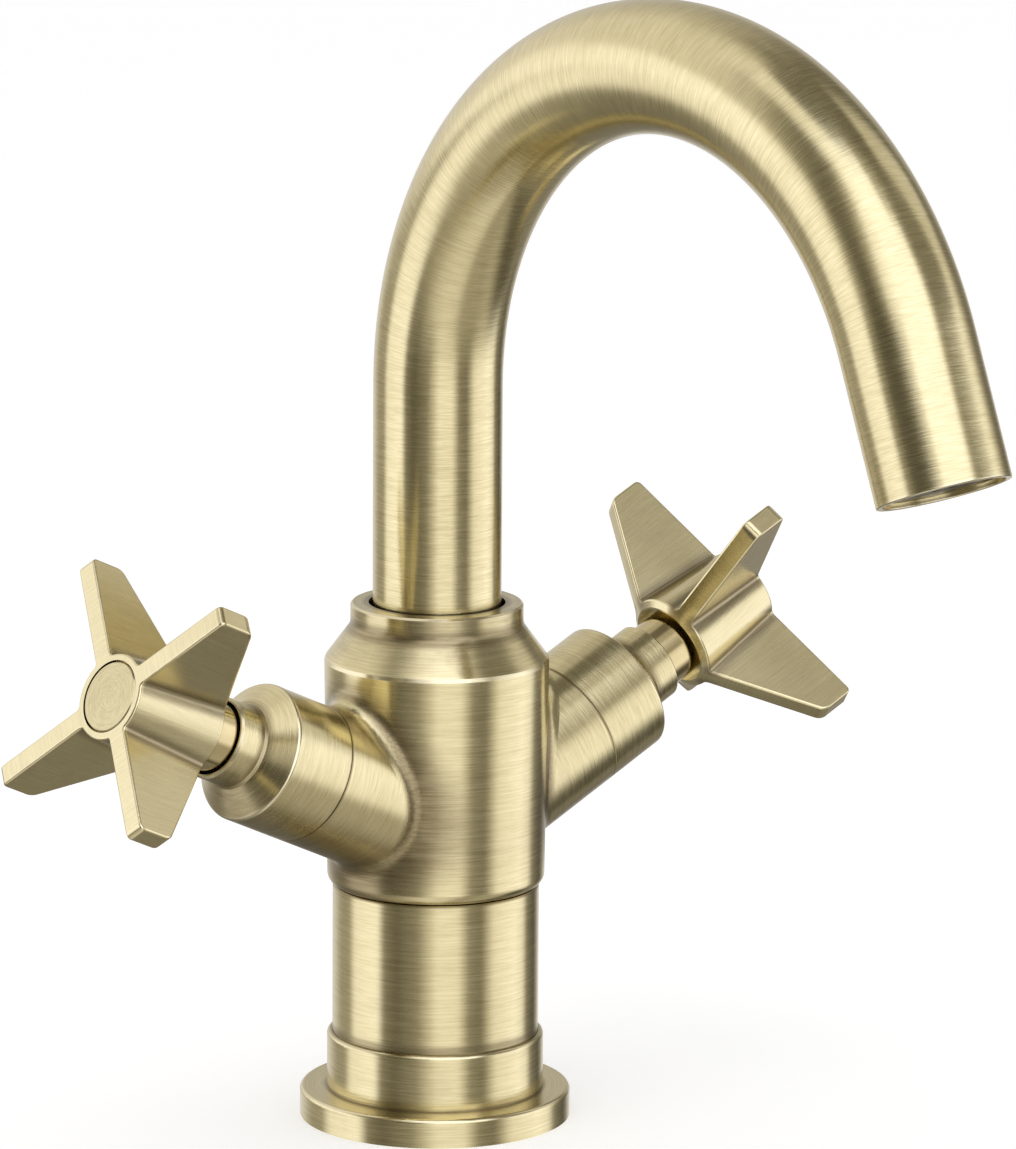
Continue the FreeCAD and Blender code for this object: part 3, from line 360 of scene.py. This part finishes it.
# %% Brass for the column and the bonnets
UPRIGHT = Matrix.Identity(3)
ORIGIN = Vector((0, 0, 0))
FLANGE_RADIUS, FLANGE_TOP = 0.0265, 0.00565
COLLAR_RADIUS, COLLAR_TOP = 0.0212, 0.0169
SLEEVE_RADIUS, SLEEVE_FOOT, BARREL_FOOT = 0.0202, 0.0175, 0.0465
ARM_RADIUS, ARM_SEAM, BONNET_SHOULDER = 0.01365, 0.0365, 0.0505
BONNET_NECK_RADIUS, BONNET_NECK_BORE = 0.00815, 0.0074
BONNET_NECK_FOOT, BONNET_NECK_END = 0.0542, 0.0603
# Share of patina in a seam, and of rubbed metal on an edge.
SEAM_SHARE, EDGE_SHARE = 0.6, 0.45


def brushed_turning(name, centre, turn, seams, edges, on_arm=False):
    """Brass with lines round an axis, patina in its seams, rubbed edges, and painted shade under an arm."""
    graph = Finish(name)
    spot = graph.spot()
    place = turned_place(graph, spot, centre, turn)
    dark = near(place, seams) * SEAM_SHARE
    pale = near(place, edges) * EDGE_SHARE
    if on_arm:
        # On a bonnet, painted shade darkens the lowest line, and the cap is darkened a little.
        dark = dark.most(underside_shade_and_dark_cap(place, turn))
    return metal(graph, ring_lines(graph, place), wear(graph, spot), dark, pale)


column_brass = brushed_turning(
    "brushed brass, column", ORIGIN, UPRIGHT,
    seams=[(COLLAR_RADIUS, FLANGE_TOP, 0.0009),
           (SLEEVE_RADIUS, SLEEVE_FOOT, 0.0016),
           (SLEEVE_RADIUS, BARREL_FOOT, 0.0006)],
    edges=[(COLLAR_RADIUS, COLLAR_TOP, 0.0008),
           (FLANGE_RADIUS, FLANGE_TOP, 0.0008)])
arm_brass = {
    side: brushed_turning(
        "brushed brass, " + side + " bonnet", ARM_CENTRE, arm_turn(side),
        seams=[(ARM_RADIUS, ARM_SEAM, 0.0005),
               (BONNET_NECK_RADIUS, BONNET_NECK_FOOT, 0.0022),
               (BONNET_NECK_BORE, BONNET_NECK_END, 0.0010)],
        edges=[(ARM_RADIUS, BONNET_SHOULDER, 0.0008),
               (BONNET_NECK_RADIUS, BONNET_NECK_END, 0.0007)],
        on_arm=True)
    for side in ("left", "right")}
print("turned brass:", column_brass.name, [material.name for material in arm_brass.values()])

# %% [markdown]
# ## The casting with its arms
# One casting carries the barrel and both arms, and each was brushed round its own axis. Two
# materials could share the piece, but they would meet in a hard line. So one finish holds two sets
# of lines, and the distance from the column's axis says where one gives way to the other. Both
# arms are alike, so the material folds the left one over the right one with an absolute value.
#
# Painted shade, with some patina, darkens the barrel round the root of each arm, and painted shade
# darkens the arms' undersides.

# %% Brass for the casting
BARREL_RADIUS, BARREL_SHOULDER = 0.0219, 0.0914
NECK_RADIUS, NECK_FOOT, NECK_TOP, NECK_BORE = 0.0168, 0.0982, 0.1024, 0.0135
# Distances from the column's axis: where the barrel's lines end and where the arms' lines start.
BARREL_ENDS, ARM_STARTS = 0.0221, 0.0236
# Distances from an arm's axis between which the painted shade and patina round its root grow.
ROOT_SHADE_AND_PATINA = (0.0222, 0.0158)


def brushed_casting():
    """Lines round the barrel and round both arms, in one material."""
    graph = Finish("brushed brass, casting")
    spot = graph.spot()
    x, y, z = graph.split(spot)
    right_arm = arm_turn("right")
    barrel = turned_place(graph, spot, ORIGIN, UPRIGHT)
    arm = turned_place(graph, graph.join(abs(x), y, z), ARM_CENTRE, right_arm)
    on_arm = barrel.radius.fade(BARREL_ENDS, ARM_STARTS)
    lines = ring_lines(graph, barrel) * (1 - on_arm) + ring_lines(graph, arm) * on_arm
    worn = wear(graph, spot)
    seams = near(barrel, [(BARREL_RADIUS, BARREL_FOOT, 0.0006),
                          (NECK_RADIUS, NECK_FOOT, 0.0032),
                          (NECK_BORE, NECK_TOP, 0.0016)])
    seams = seams.most(near(arm, [(ARM_RADIUS, ARM_SEAM, 0.0005)])) * 0.7
    # A broad cloud of stain lies on the cone below the neck.
    neck = near(barrel, [(NECK_RADIUS, NECK_FOOT + 0.0003, 0.010)]) * worn.fade(0.30, 0.70) * 0.35
    # Painted shade near an arm, with some patina: on the barrel round its root, and along the arm's own underside.
    on_barrel = barrel.radius.fade(ARM_STARTS, BARREL_ENDS)
    root = arm.radius.fade(*ROOT_SHADE_AND_PATINA) * on_barrel.most(underside(arm, right_arm)) * 0.8
    pale = near(barrel, [(BARREL_RADIUS, BARREL_SHOULDER, 0.0009),
                         (NECK_RADIUS, NECK_TOP, 0.0008)]) * EDGE_SHARE
    return metal(graph, lines, worn, seams.most(neck).most(root), pale)


casting_brass = brushed_casting()
print("casting brass:", len(casting_brass.node_tree.nodes), "nodes")

# %% [markdown]
# ## The cross handles
# A fin is flat, so it was brushed in straight strokes, along the handle's axis from the front edge
# to the back. The rings of the turned pieces could be used here too, but they would cross the fins
# in arcs that a straight brush never draws. The lines are therefore long along the axis and fine
# outwards, and each fin gets lines of its own. The stain stays in the hollows where a fin meets
# the hub, and the front edges are rubbed pale by the hand that turns them.

# %% Brass for the fins
# The hub's front along the arm, its radius there, and its growth for each metre to the rear.
HUB_FRONT, HUB_RADIUS, HUB_TAPER = 0.0873, 0.0085, 0.0853
# The middle of the hollow beside a fin, measured from the fin's middle plane.
HOLLOW_SIDE = 0.0024
# How often the lines change over a metre through a fin's thickness and along the handle's axis.
EDGE_LINES, STROKE_LINES = 300, 120
FIN_CONTRAST = 0.65
# Rubbed metal on every face of a fin, as a share.
RUBBED_FACE = 0.15


def brushed_fins(name, side):
    """Straight lines along the handle's axis, dark roots and pale edges."""
    graph = Finish(name)
    spot = graph.spot()
    x, y, height = along_axis(graph, spot, ARM_CENTRE, arm_turn(side))
    reach, off = abs(x).most(abs(y)), abs(x).least(abs(y))
    which_fin = (x + y).math("SIGN") * 5 + (x - y).math("SIGN") * 11
    vector = graph.join(reach * FINE, off * EDGE_LINES, height * STROKE_LINES)
    lines = brush_noise(graph, vector, which_fin) * FIN_CONTRAST + (1 - FIN_CONTRAST) / 2
    # The hub is a cone, so the hollows lie further out towards its rear.
    hollow_out = reach - HUB_RADIUS + (height - HUB_FRONT) * HUB_TAPER
    hollow_up = off - HOLLOW_SIDE
    hollow = (hollow_out * hollow_out + hollow_up * hollow_up).root().fade(0.0026, 0.0006)
    dark = hollow * height.fade(HUB_FRONT - 0.0001, HUB_FRONT - 0.0011) * 0.8
    # Only the rim of a front edge is rubbed, and only away from the hub.
    rim = off.fade(0.0016, 0.0020) * reach.fade(0.011, 0.013)
    front = height.fade(HUB_FRONT - 0.0009, HUB_FRONT - 0.0001)
    pale = (rim * front * EDGE_SHARE).most(RUBBED_FACE)
    return metal(graph, lines, wear(graph, spot), dark, pale)


fin_brass = {side: brushed_fins("brushed brass, " + side + " fins", side)
             for side in ("left", "right")}
print("fin brass:", [material.name for material in fin_brass.values()])

# %% [markdown]
# ## The gooseneck
# The spout is one long tube: a straight rise, one large arch and a short straight tail. Its brush
# lines run round the tube, so they turn with it, and no fixed axis can describe them. A curve with
# a round profile would give the same tube, but we want to know for each corner how far it lies
# along the tube and in which direction round it. So Geometry Nodes bend a flat grid instead. Its
# first direction runs round the tube and its second runs along it. Both stay on the mesh as an
# attribute, and the brush lines follow that.
#
# With the distance s along the centre line, the turn is a = clamp((s - rise) / R, 0, sweep), and
# what is left of s after the arch is the tail. The grid's rows run up the outside, over the rim,
# down the inside and back to the first row, so the tube closes on itself. A narrow bevel then
# breaks its edges.

# %% Sizes of the gooseneck
TUBE = {"Foot": 0.0971, "Rise": 0.04828, "Arch": 0.06845, "Sweep": math.radians(158.0),
        "Tail": 0.0274, "Radius": 0.0125, "Wall": 0.0012}
TUBE_LENGTH = TUBE["Rise"] + TUBE["Arch"] * TUBE["Sweep"] + TUBE["Tail"]
print("gooseneck length:", round(TUBE_LENGTH, 4))


# %% A helper for geometry trees
class Tree(Graph):
    """A Geometry Nodes tree with named inputs, and the same arithmetic as above."""

    def __init__(self, name):
        super().__init__(bpy.data.node_groups.new(name, "GeometryNodeTree"))
        self.tree.interface.new_socket("Geometry", in_out="OUTPUT",
                                       socket_type="NodeSocketGeometry")
        self.entry = self.tree.nodes.new("NodeGroupInput")
        self.sizes = {}

    def size(self, name, value):
        """A named input of the tree, with the value that it will get."""
        socket = self.tree.interface.new_socket(name, in_out="INPUT",
                                                socket_type="NodeSocketFloat")
        self.sizes[socket.identifier] = value
        return Value(self, self.entry.outputs[name])

    def close(self, geometry, material):
        """End with real, dressed geometry."""
        whole = self.add("GeometryNodeRealizeInstances", {}, {"Geometry": geometry})
        dressed = self.add("GeometryNodeSetMaterial", {}, {
            "Geometry": whole, "Material": material})
        exit_node = self.tree.nodes.new("NodeGroupOutput")
        self.tree.links.new(dressed.socket, exit_node.inputs[0])

    def make(self, name):
        """Run the tree once and keep its result as a plain mesh object with one material."""
        carrier = bpy.data.objects.new(name + "_carrier", bpy.data.meshes.new(name + "_carrier"))
        bpy.context.scene.collection.objects.link(carrier)
        modifier = carrier.modifiers.new("tree", "NODES")
        modifier.node_group = self.tree
        for identifier, value in self.sizes.items():
            modifier[identifier] = value
        depsgraph = bpy.context.evaluated_depsgraph_get()
        mesh = bpy.data.meshes.new_from_object(carrier.evaluated_get(depsgraph))
        mesh.name = name
        material = mesh.materials[-1]
        mesh.materials.clear()
        mesh.materials.append(material)
        piece = bpy.data.objects.new(name, mesh)
        bpy.context.scene.collection.objects.link(piece)
        # The modifier goes with its carrier.
        bpy.data.objects.remove(carrier)
        print(name, "has", len(mesh.vertices), "corners")
        return piece


# %% Bend a grid into the gooseneck
# Corners round the tube, of which the last lies on the first, and steps from foot to tip.
ROUND_COUNT, STEPS = 97, 210
LAST_ROW = 2 * STEPS + 2
TOUCHING = 1e-6


def gooseneck_tree():
    """A closed tube with a wall, and its brush directions as an attribute."""
    tree = Tree("gooseneck")
    foot, rise, arch, sweep, tail, outside, wall = [
        tree.size(name, value) for name, value in TUBE.items()]
    grid = tree.add("GeometryNodeMeshGrid", {}, {
        "Size X": 1.0, "Size Y": 1.0, "Vertices X": ROUND_COUNT, "Vertices Y": LAST_ROW + 1})
    across, along, _ = tree.split(tree.add("GeometryNodeInputPosition", {}, {}))
    # Along the tube, up the outside and down the inside.
    row = (along + 0.5) * LAST_ROW
    up_rows, down_rows = row.least(STEPS), (row - (STEPS + 1)).most(0.0)
    length = rise + arch * sweep + tail
    distance = (up_rows - down_rows).most(0.0) / STEPS * length
    inside = row.math("GREATER_THAN", STEPS + 0.5) * row.math("LESS_THAN", LAST_ROW - 0.5)
    # The centre line.
    turn = ((distance - rise) / arch).most(0.0).least(sweep)
    beyond = (distance - rise - arch * sweep).most(0.0)
    sine, cosine = turn.math("SINE"), turn.math("COSINE")
    centre_y = (arch * (1 - cosine) + beyond * sine) * -1
    centre_z = foot + distance.least(rise) + arch * sine + beyond * cosine
    # Round the tube.
    angle = (across + 0.5) * -math.tau
    radius = outside - wall * inside
    outwards, sideways = radius * angle.math("COSINE"), radius * angle.math("SINE")
    place = tree.join(sideways, centre_y + outwards * cosine, centre_z + outwards * sine)
    # The brush directions are stored first, while the corners still lie on the flat grid.
    brush = tree.join(angle.math("COSINE"), angle.math("SINE"), distance)
    stored = tree.add("GeometryNodeStoreNamedAttribute",
                      {"data_type": "FLOAT_VECTOR", "domain": "POINT"},
                      {"Geometry": grid, "Name": "brush", "Value": brush})
    bent = tree.add("GeometryNodeSetPosition", {}, {"Geometry": stored, "Position": place})
    merged = tree.add("GeometryNodeMergeByDistance", {}, {"Geometry": bent, "Distance": TOUCHING})
    return tree, tree.add("GeometryNodeSetShadeSmooth", {}, {"Geometry": merged})


tree, tube = gooseneck_tree()
print("the tree's named sizes:", list(TUBE))

# %% Dress and place the gooseneck
# Distances before the tip between which the rim turns pale.
RIM_FADE = (0.0008, 0.0002)
EDGE_BREAK, EDGE_ANGLE = 0.00025, math.radians(50)


def brushed_tube(name):
    """Lines that turn with the tube, read from the grid's own directions."""
    graph = Finish(name)
    brush = graph.add("ShaderNodeAttribute", {"attribute_name": "brush"}, {}, "Vector")
    to_x, to_y, distance = graph.split(brush)
    lines = brush_noise(graph, graph.join(to_x * SPREAD, to_y * SPREAD, distance * FINE))
    rim = distance.fade(TUBE_LENGTH - RIM_FADE[0], TUBE_LENGTH - RIM_FADE[1])
    return metal(graph, lines, wear(graph, graph.spot()), pale=rim * 0.5)


tree.close(tube, brushed_tube("brushed brass, gooseneck"))
gooseneck = tree.make("gooseneck")
bevel = gooseneck.modifiers.new("edges", "BEVEL")
bevel.width, bevel.segments, bevel.limit_method = EDGE_BREAK, 2, "ANGLE"
bevel.angle_limit, bevel.harden_normals = EDGE_ANGLE, True
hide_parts("spout_tube")
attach(gooseneck, "spout")

# %% [markdown]
# ## The plain metals and the soft parts
# The stem behind each hub is polished, not brushed, so it gets hardly any grain. Everything inside
# the tap is plain, but it shows in a cut or from below, so it gets a finish of its own too:
# machined brass, stainless steel, ceramic, rubber and plastic. Each could have a graph of its own,
# but they differ only in colour, roughness and whether they are metal, so one function makes them.

# %% Materials of the small pieces
def polished_brass():
    """Smooth brass with a faint haze."""
    graph = Finish("polished brass")
    haze = graph.noise(graph.spot(), 220.0, 4.0, 0.6)
    colour = graph.blend(haze, (0.52, 0.42, 0.21, 1), (0.67, 0.56, 0.31, 1))
    return graph.close(Base_Color=colour, Roughness=haze * 0.08 + 0.09, Metallic=1.0)


def machined(name, first, second, rough, metallic=1.0, scale=900.0):
    """A plain material between two colours, with a fine even grain."""
    graph = Finish(name)
    grain = graph.noise(graph.spot(), scale, 4.0, 0.6)
    bump = graph.add("ShaderNodeBump", {}, {
        "Strength": 0.15, "Distance": 0.00004, "Height": grain})
    return graph.close(Base_Color=graph.blend(grain, first, second), Metallic=metallic,
                       Roughness=grain * 0.12 + rough, Normal=bump)


stem_brass = polished_brass()
small_parts = {
    "plain_brass": machined(
        "machined brass", (0.58, 0.45, 0.22, 1), (0.70, 0.57, 0.32, 1), 0.26),
    "stainless_steel": machined(
        "stainless steel", (0.50, 0.50, 0.50, 1), (0.62, 0.62, 0.61, 1), 0.24),
    "rubber": machined(
        "black rubber", (0.012, 0.012, 0.012, 1), (0.03, 0.03, 0.03, 1), 0.55, 0.0, 2000.0),
    "white_plastic": machined(
        "white plastic", (0.72, 0.72, 0.69, 1), (0.80, 0.80, 0.78, 1), 0.42, 0.0),
    "brass_plastic": machined(
        "dark aerator plastic", (0.05, 0.045, 0.035, 1), (0.10, 0.09, 0.07, 1), 0.4, 0.0),
    "ceramic": machined(
        "lapped ceramic", (0.80, 0.78, 0.74, 1), (0.88, 0.87, 0.83, 1), 0.2, 0.0),
}
print("small parts:", [material.name for material in small_parts.values()])

# %% [markdown]
# ## Dressing the pieces
# Each CAD piece already has its material slots, and we only fill them. The pieces could be dressed
# one by one, but the names already say what a piece is, and the record says what the small ones
# are made of. So one function picks the finish, and a loop fills the slots. The CAD's own tube is
# dressed as well, although the gooseneck stands in its place, so that no slot is left out.

# %% Dress every CAD piece
COLUMN_PIECES = ("base_flange", "column_sleeve", "nozzle_ring", "spout_tube")
slot_of = {entry["node"]: entry["material_slot"] for entry in frame["record"]["subparts"]}


def finish_of(name):
    """The material of a piece, from its name or else from the record's slot."""
    side = "left" if name.endswith("left") else "right"
    if name.startswith("handle_cross"):
        return fin_brass[side]
    if name.startswith(("bonnet", "handle_cap")):
        return arm_brass[side]
    if name.startswith("handle_stem"):
        return stem_brass
    if name == "body_casting":
        return casting_brass
    if name in COLUMN_PIECES:
        return column_brass
    return small_parts[slot_of[name]]


for name, node in nodes.items():
    for slot in node.material_slots:
        slot.material = finish_of(name)
print("dressed", len(nodes), "CAD pieces")

# %% [markdown]
# ## Camera
# The photograph was taken from the left of the front and a little above, with a long lens. A camera
# can be aimed by eye, but this one was fitted: its place, its angles and its lens are those at
# which the model's outline matches the pictured one best.

# %% Camera
CAMERA_LENS = 224.98
CAMERA_PLACE = (-0.86298, -1.0535, 0.3906)
CAMERA_TURN, CAMERA_PITCH = math.radians(-39.90), math.radians(11.73)
CAMERA_ROLL = math.radians(0.377)

camera = bpy.data.objects.new("camera", bpy.data.cameras.new("camera"))
bpy.context.scene.collection.objects.link(camera)
camera.data.lens = CAMERA_LENS
camera.location = CAMERA_PLACE
camera.rotation_euler = (Euler((math.pi / 2 - CAMERA_PITCH, 0, CAMERA_TURN)).to_matrix()
                         @ Matrix.Rotation(CAMERA_ROLL, 3, "Z")).to_euler()
bpy.context.scene.camera = camera
print("the camera stands", round(camera.location.length, 3), "metres from the tap's foot")

# %% [markdown]
# ## Studio
# Metal shows what stands round it. A round piece of brushed metal turns the studio into upright
# bands: each softbox is a pale band and each dark board a dark one. The bands could be real lamps
# and boards, but those would have to stand below the floor too, or the foot of the tap would show
# nothing but floor. So the world carries them: what the metal sees depends on the direction it
# looks in, first round the tap and then up or down. The camera sees plain white instead.
#
# Bearings are in degrees round the tap, from the camera, positive to the right of the picture.
# Each list pairs a bearing with the level of light there, and is one ring of the studio: a little
# below the horizon, at the horizon, high up, overhead, and down on the ground. The gap between the
# softboxes straight above is dark, and a single level says so.

# %% The studio's rings of light
LOW_BANDS = [
    (-180, 0.8), (-150, 0.78), (-130, 0.45), (-112, 0.45), (-102, 1.4), (-68, 1.65), (-60, 0.28),
    (-44, 0.14), (-20, 0.3), (-9, 0.75), (2, 1.3), (25, 1.32), (32, 0.75), (38, 0.3), (53, 0.22),
    (61, 0.75), (68, 1.3), (100, 1.65), (114, 1.35), (123, 0.28), (143, 0.1), (152, 0.35),
    (164, 0.8)]
HORIZON_BANDS = [
    (-180, 0.58), (-165, 0.75), (-135, 1.05), (-124, 1.4), (-85, 1.65), (-70, 1.35), (-62, 0.5),
    (-50, 0.15), (-18, 0.06), (-8, 0.6), (0, 1.9), (42, 1.9), (50, 0.45), (58, 0.7), (68, 1.4),
    (100, 1.65), (112, 1.2), (122, 0.6), (132, 0.25), (146, 0.25), (158, 0.5)]
UPPER_BANDS = [
    (-180, 0.55), (-160, 0.75), (-140, 0.98), (-95, 1.05), (-80, 0.8), (-70, 0.4), (-58, 0.2),
    (-42, 0.22), (-30, 0.6), (-20, 1.5), (0, 1.9), (50, 1.9), (58, 0.55), (66, 0.28), (102, 0.28),
    (113, 0.85), (134, 0.85), (144, 0.2), (158, 0.2), (170, 0.45)]
OVERHEAD_BANDS = [
    (-180, 0.3), (-150, 0.7), (-110, 1.1), (-60, 1.25), (-25, 1.7), (0, 1.95), (38, 1.9),
    (47, 0.65), (66, 0.45), (85, 0.22), (130, 0.2), (165, 0.25)]
GROUND_BANDS = [
    (-180, 0.24), (-150, 0.22), (-110, 0.28), (-80, 0.6), (-60, 0.45), (-45, 0.6), (-25, 0.9),
    (-8, 1.0), (14, 0.92), (30, 0.5), (60, 0.48), (84, 0.6), (94, 0.35), (106, 0.12), (124, 0.12),
    (134, 0.3), (160, 0.28)]
# Every direction starts with the low ring. Each of these then takes over between two heights of
# the direction, where 0 is level, 1 is straight up and -1 is straight down.
RINGS = [(-0.06, 0.06, HORIZON_BANDS), (0.26, 0.44, UPPER_BANDS),
         (0.78, 0.88, OVERHEAD_BANDS), (-0.30, -0.52, GROUND_BANDS)]
ZENITH_FADE, ZENITH_LEVEL = (0.955, 0.985), 0.2
print("rings of light:", 1 + len(RINGS), "and one level straight above")

# %% The world that the metal mirrors
# Levels are stored as shares of the brightest, and the world's strength brings them back.
BRIGHTEST = 2.0
# What a surface that isn't a mirror gets from every side.
FILL = (0.7, 0.7, 0.7, 1)
WHITE = (1, 1, 1, 1)


def light_colour(level):
    """A lamp's white is a little cool and a dark board a little warm."""
    red, green, blue = 1.07 - 0.05 * level, 1.0, 0.84 + 0.17 * level
    return [level * part / BRIGHTEST for part in (red, green, blue)] + [1]


def ring_colour(graph, bearing, bands):
    """One ring as a colour ramp, which ends at the level where it starts."""
    ramp = graph.add("ShaderNodeValToRGB", {}, {"Fac": bearing})
    stops = ramp.socket.node.color_ramp.elements
    bands = bands + [(180, bands[0][1])]
    while len(stops) < len(bands):
        stops.new(0.5)
    for stop, (degrees, level) in zip(stops, bands):
        stop.position = degrees / 360 + 0.5
        stop.color = light_colour(level)
    return ramp


def studio_world():
    """A world that shows rings of light to metal and white to the camera."""
    world = bpy.data.worlds.new("studio")
    world.use_nodes = True
    # The world has no small bright spot, so it needs no map of where to look for one.
    world.cycles.sampling_method = "NONE"
    graph = Graph(world.node_tree)
    direction = graph.add("ShaderNodeTexCoord", {}, {}, "Generated")
    camera_bearing = math.atan2(camera.location.y, camera.location.x)
    turned = graph.add("ShaderNodeVectorRotate", {"rotation_type": "Z_AXIS"},
                       {"Vector": direction, "Angle": -camera_bearing})
    towards, sideways, up = graph.split(turned)
    bearing = sideways.math("ARCTAN2", towards) * (1 / math.tau) + 0.5
    metal_sees = ring_colour(graph, bearing, LOW_BANDS)
    for start, end, bands in RINGS:
        ring = ring_colour(graph, bearing, bands)
        metal_sees = graph.blend(up.fade(start, end), metal_sees, ring)
    metal_sees = graph.blend(up.fade(*ZENITH_FADE), metal_sees, light_colour(ZENITH_LEVEL))
    white = graph.add("ShaderNodeLightPath", {}, {}, "Is Camera Ray")
    white = white.most(graph.add("ShaderNodeLightPath", {}, {}, "Is Transmission Ray"))
    glossy = graph.add("ShaderNodeLightPath", {}, {}, "Is Glossy Ray")
    colour = graph.blend(glossy, graph.blend(white, FILL, WHITE), metal_sees)
    strength = glossy * (BRIGHTEST - 1) + 1
    backdrop = world.node_tree.nodes["Background"]
    world.node_tree.links.new(colour.socket, backdrop.inputs["Color"])
    world.node_tree.links.new(strength.socket, backdrop.inputs["Strength"])
    return world


bpy.context.scene.world = studio_world()
bpy.context.scene.view_settings.view_transform = "Standard"
print("world:", len(bpy.context.scene.world.node_tree.nodes), "nodes")

# %% [markdown]
# ## Lamp
# The world lights the floor evenly from all sides, so by itself it would give hardly a shadow, as
# if the tap floated. A sun lamp would give one, but with a hard edge. A large square lamp above
# the tap gives the soft, faint shadow of a studio. The metal and the camera don't see it, because
# the rings of light already show every softbox.

# %% One soft lamp above
LAMP_SIZE, LAMP_POWER = 0.9, 2.2
LAMP_PLACE = (-0.25, -0.25, 1.2)
LAMP_AIM = (math.radians(-14), math.radians(-12), 0)

lamp = bpy.data.lights.new("softbox", "AREA")
lamp.shape = "SQUARE"
lamp.size = LAMP_SIZE
lamp.energy = LAMP_POWER
softbox = bpy.data.objects.new("softbox", lamp)
softbox.location = LAMP_PLACE
softbox.rotation_euler = Euler(LAMP_AIM)
softbox.visible_camera = False
softbox.visible_glossy = False
bpy.context.scene.collection.objects.link(softbox)
print("one lamp of", LAMP_POWER, "watts")

# %% [markdown]
# ## Floor
# The tap stands on a plain pale floor. More light would turn it white, but that light would fall on
# the tap too. So the floor glows a little, for the camera only, and comes out nearly white while
# it keeps the shadow. The metal doesn't see the floor, because the ring for the ground stands in
# for it.

# %% Floor
FLOOR_EDGE = 4.0
FLOOR_PAINT = (0.80, 0.80, 0.80, 1)
FLOOR_GLOW, NO_GLOW = (0.41, 0.41, 0.41, 1), (0.0, 0.0, 0.0, 1)

floor_mesh = bpy.data.meshes.new("floor")
corners = [(x * FLOOR_EDGE, y * FLOOR_EDGE, 0) for x, y in ((-1, -1), (1, -1), (1, 1), (-1, 1))]
floor_mesh.from_pydata(corners, [], [(0, 1, 2, 3)])
floor = bpy.data.objects.new("floor", floor_mesh)
bpy.context.scene.collection.objects.link(floor)
paint = Finish("pale floor")
seen = paint.add("ShaderNodeLightPath", {}, {}, "Is Camera Ray")
glow = paint.blend(seen, NO_GLOW, FLOOR_GLOW)
floor_mesh.materials.append(paint.close(Base_Color=FLOOR_PAINT, Roughness=0.9,
                                        Emission_Color=glow, Emission_Strength=1.0))
floor.visible_glossy = False
print("floor:", 2 * FLOOR_EDGE, "metres square")

# %% [markdown]
# ## The end
# A dressed piece should take up the same room as its CAD piece.

# %% Finish
print("the scene is set up")
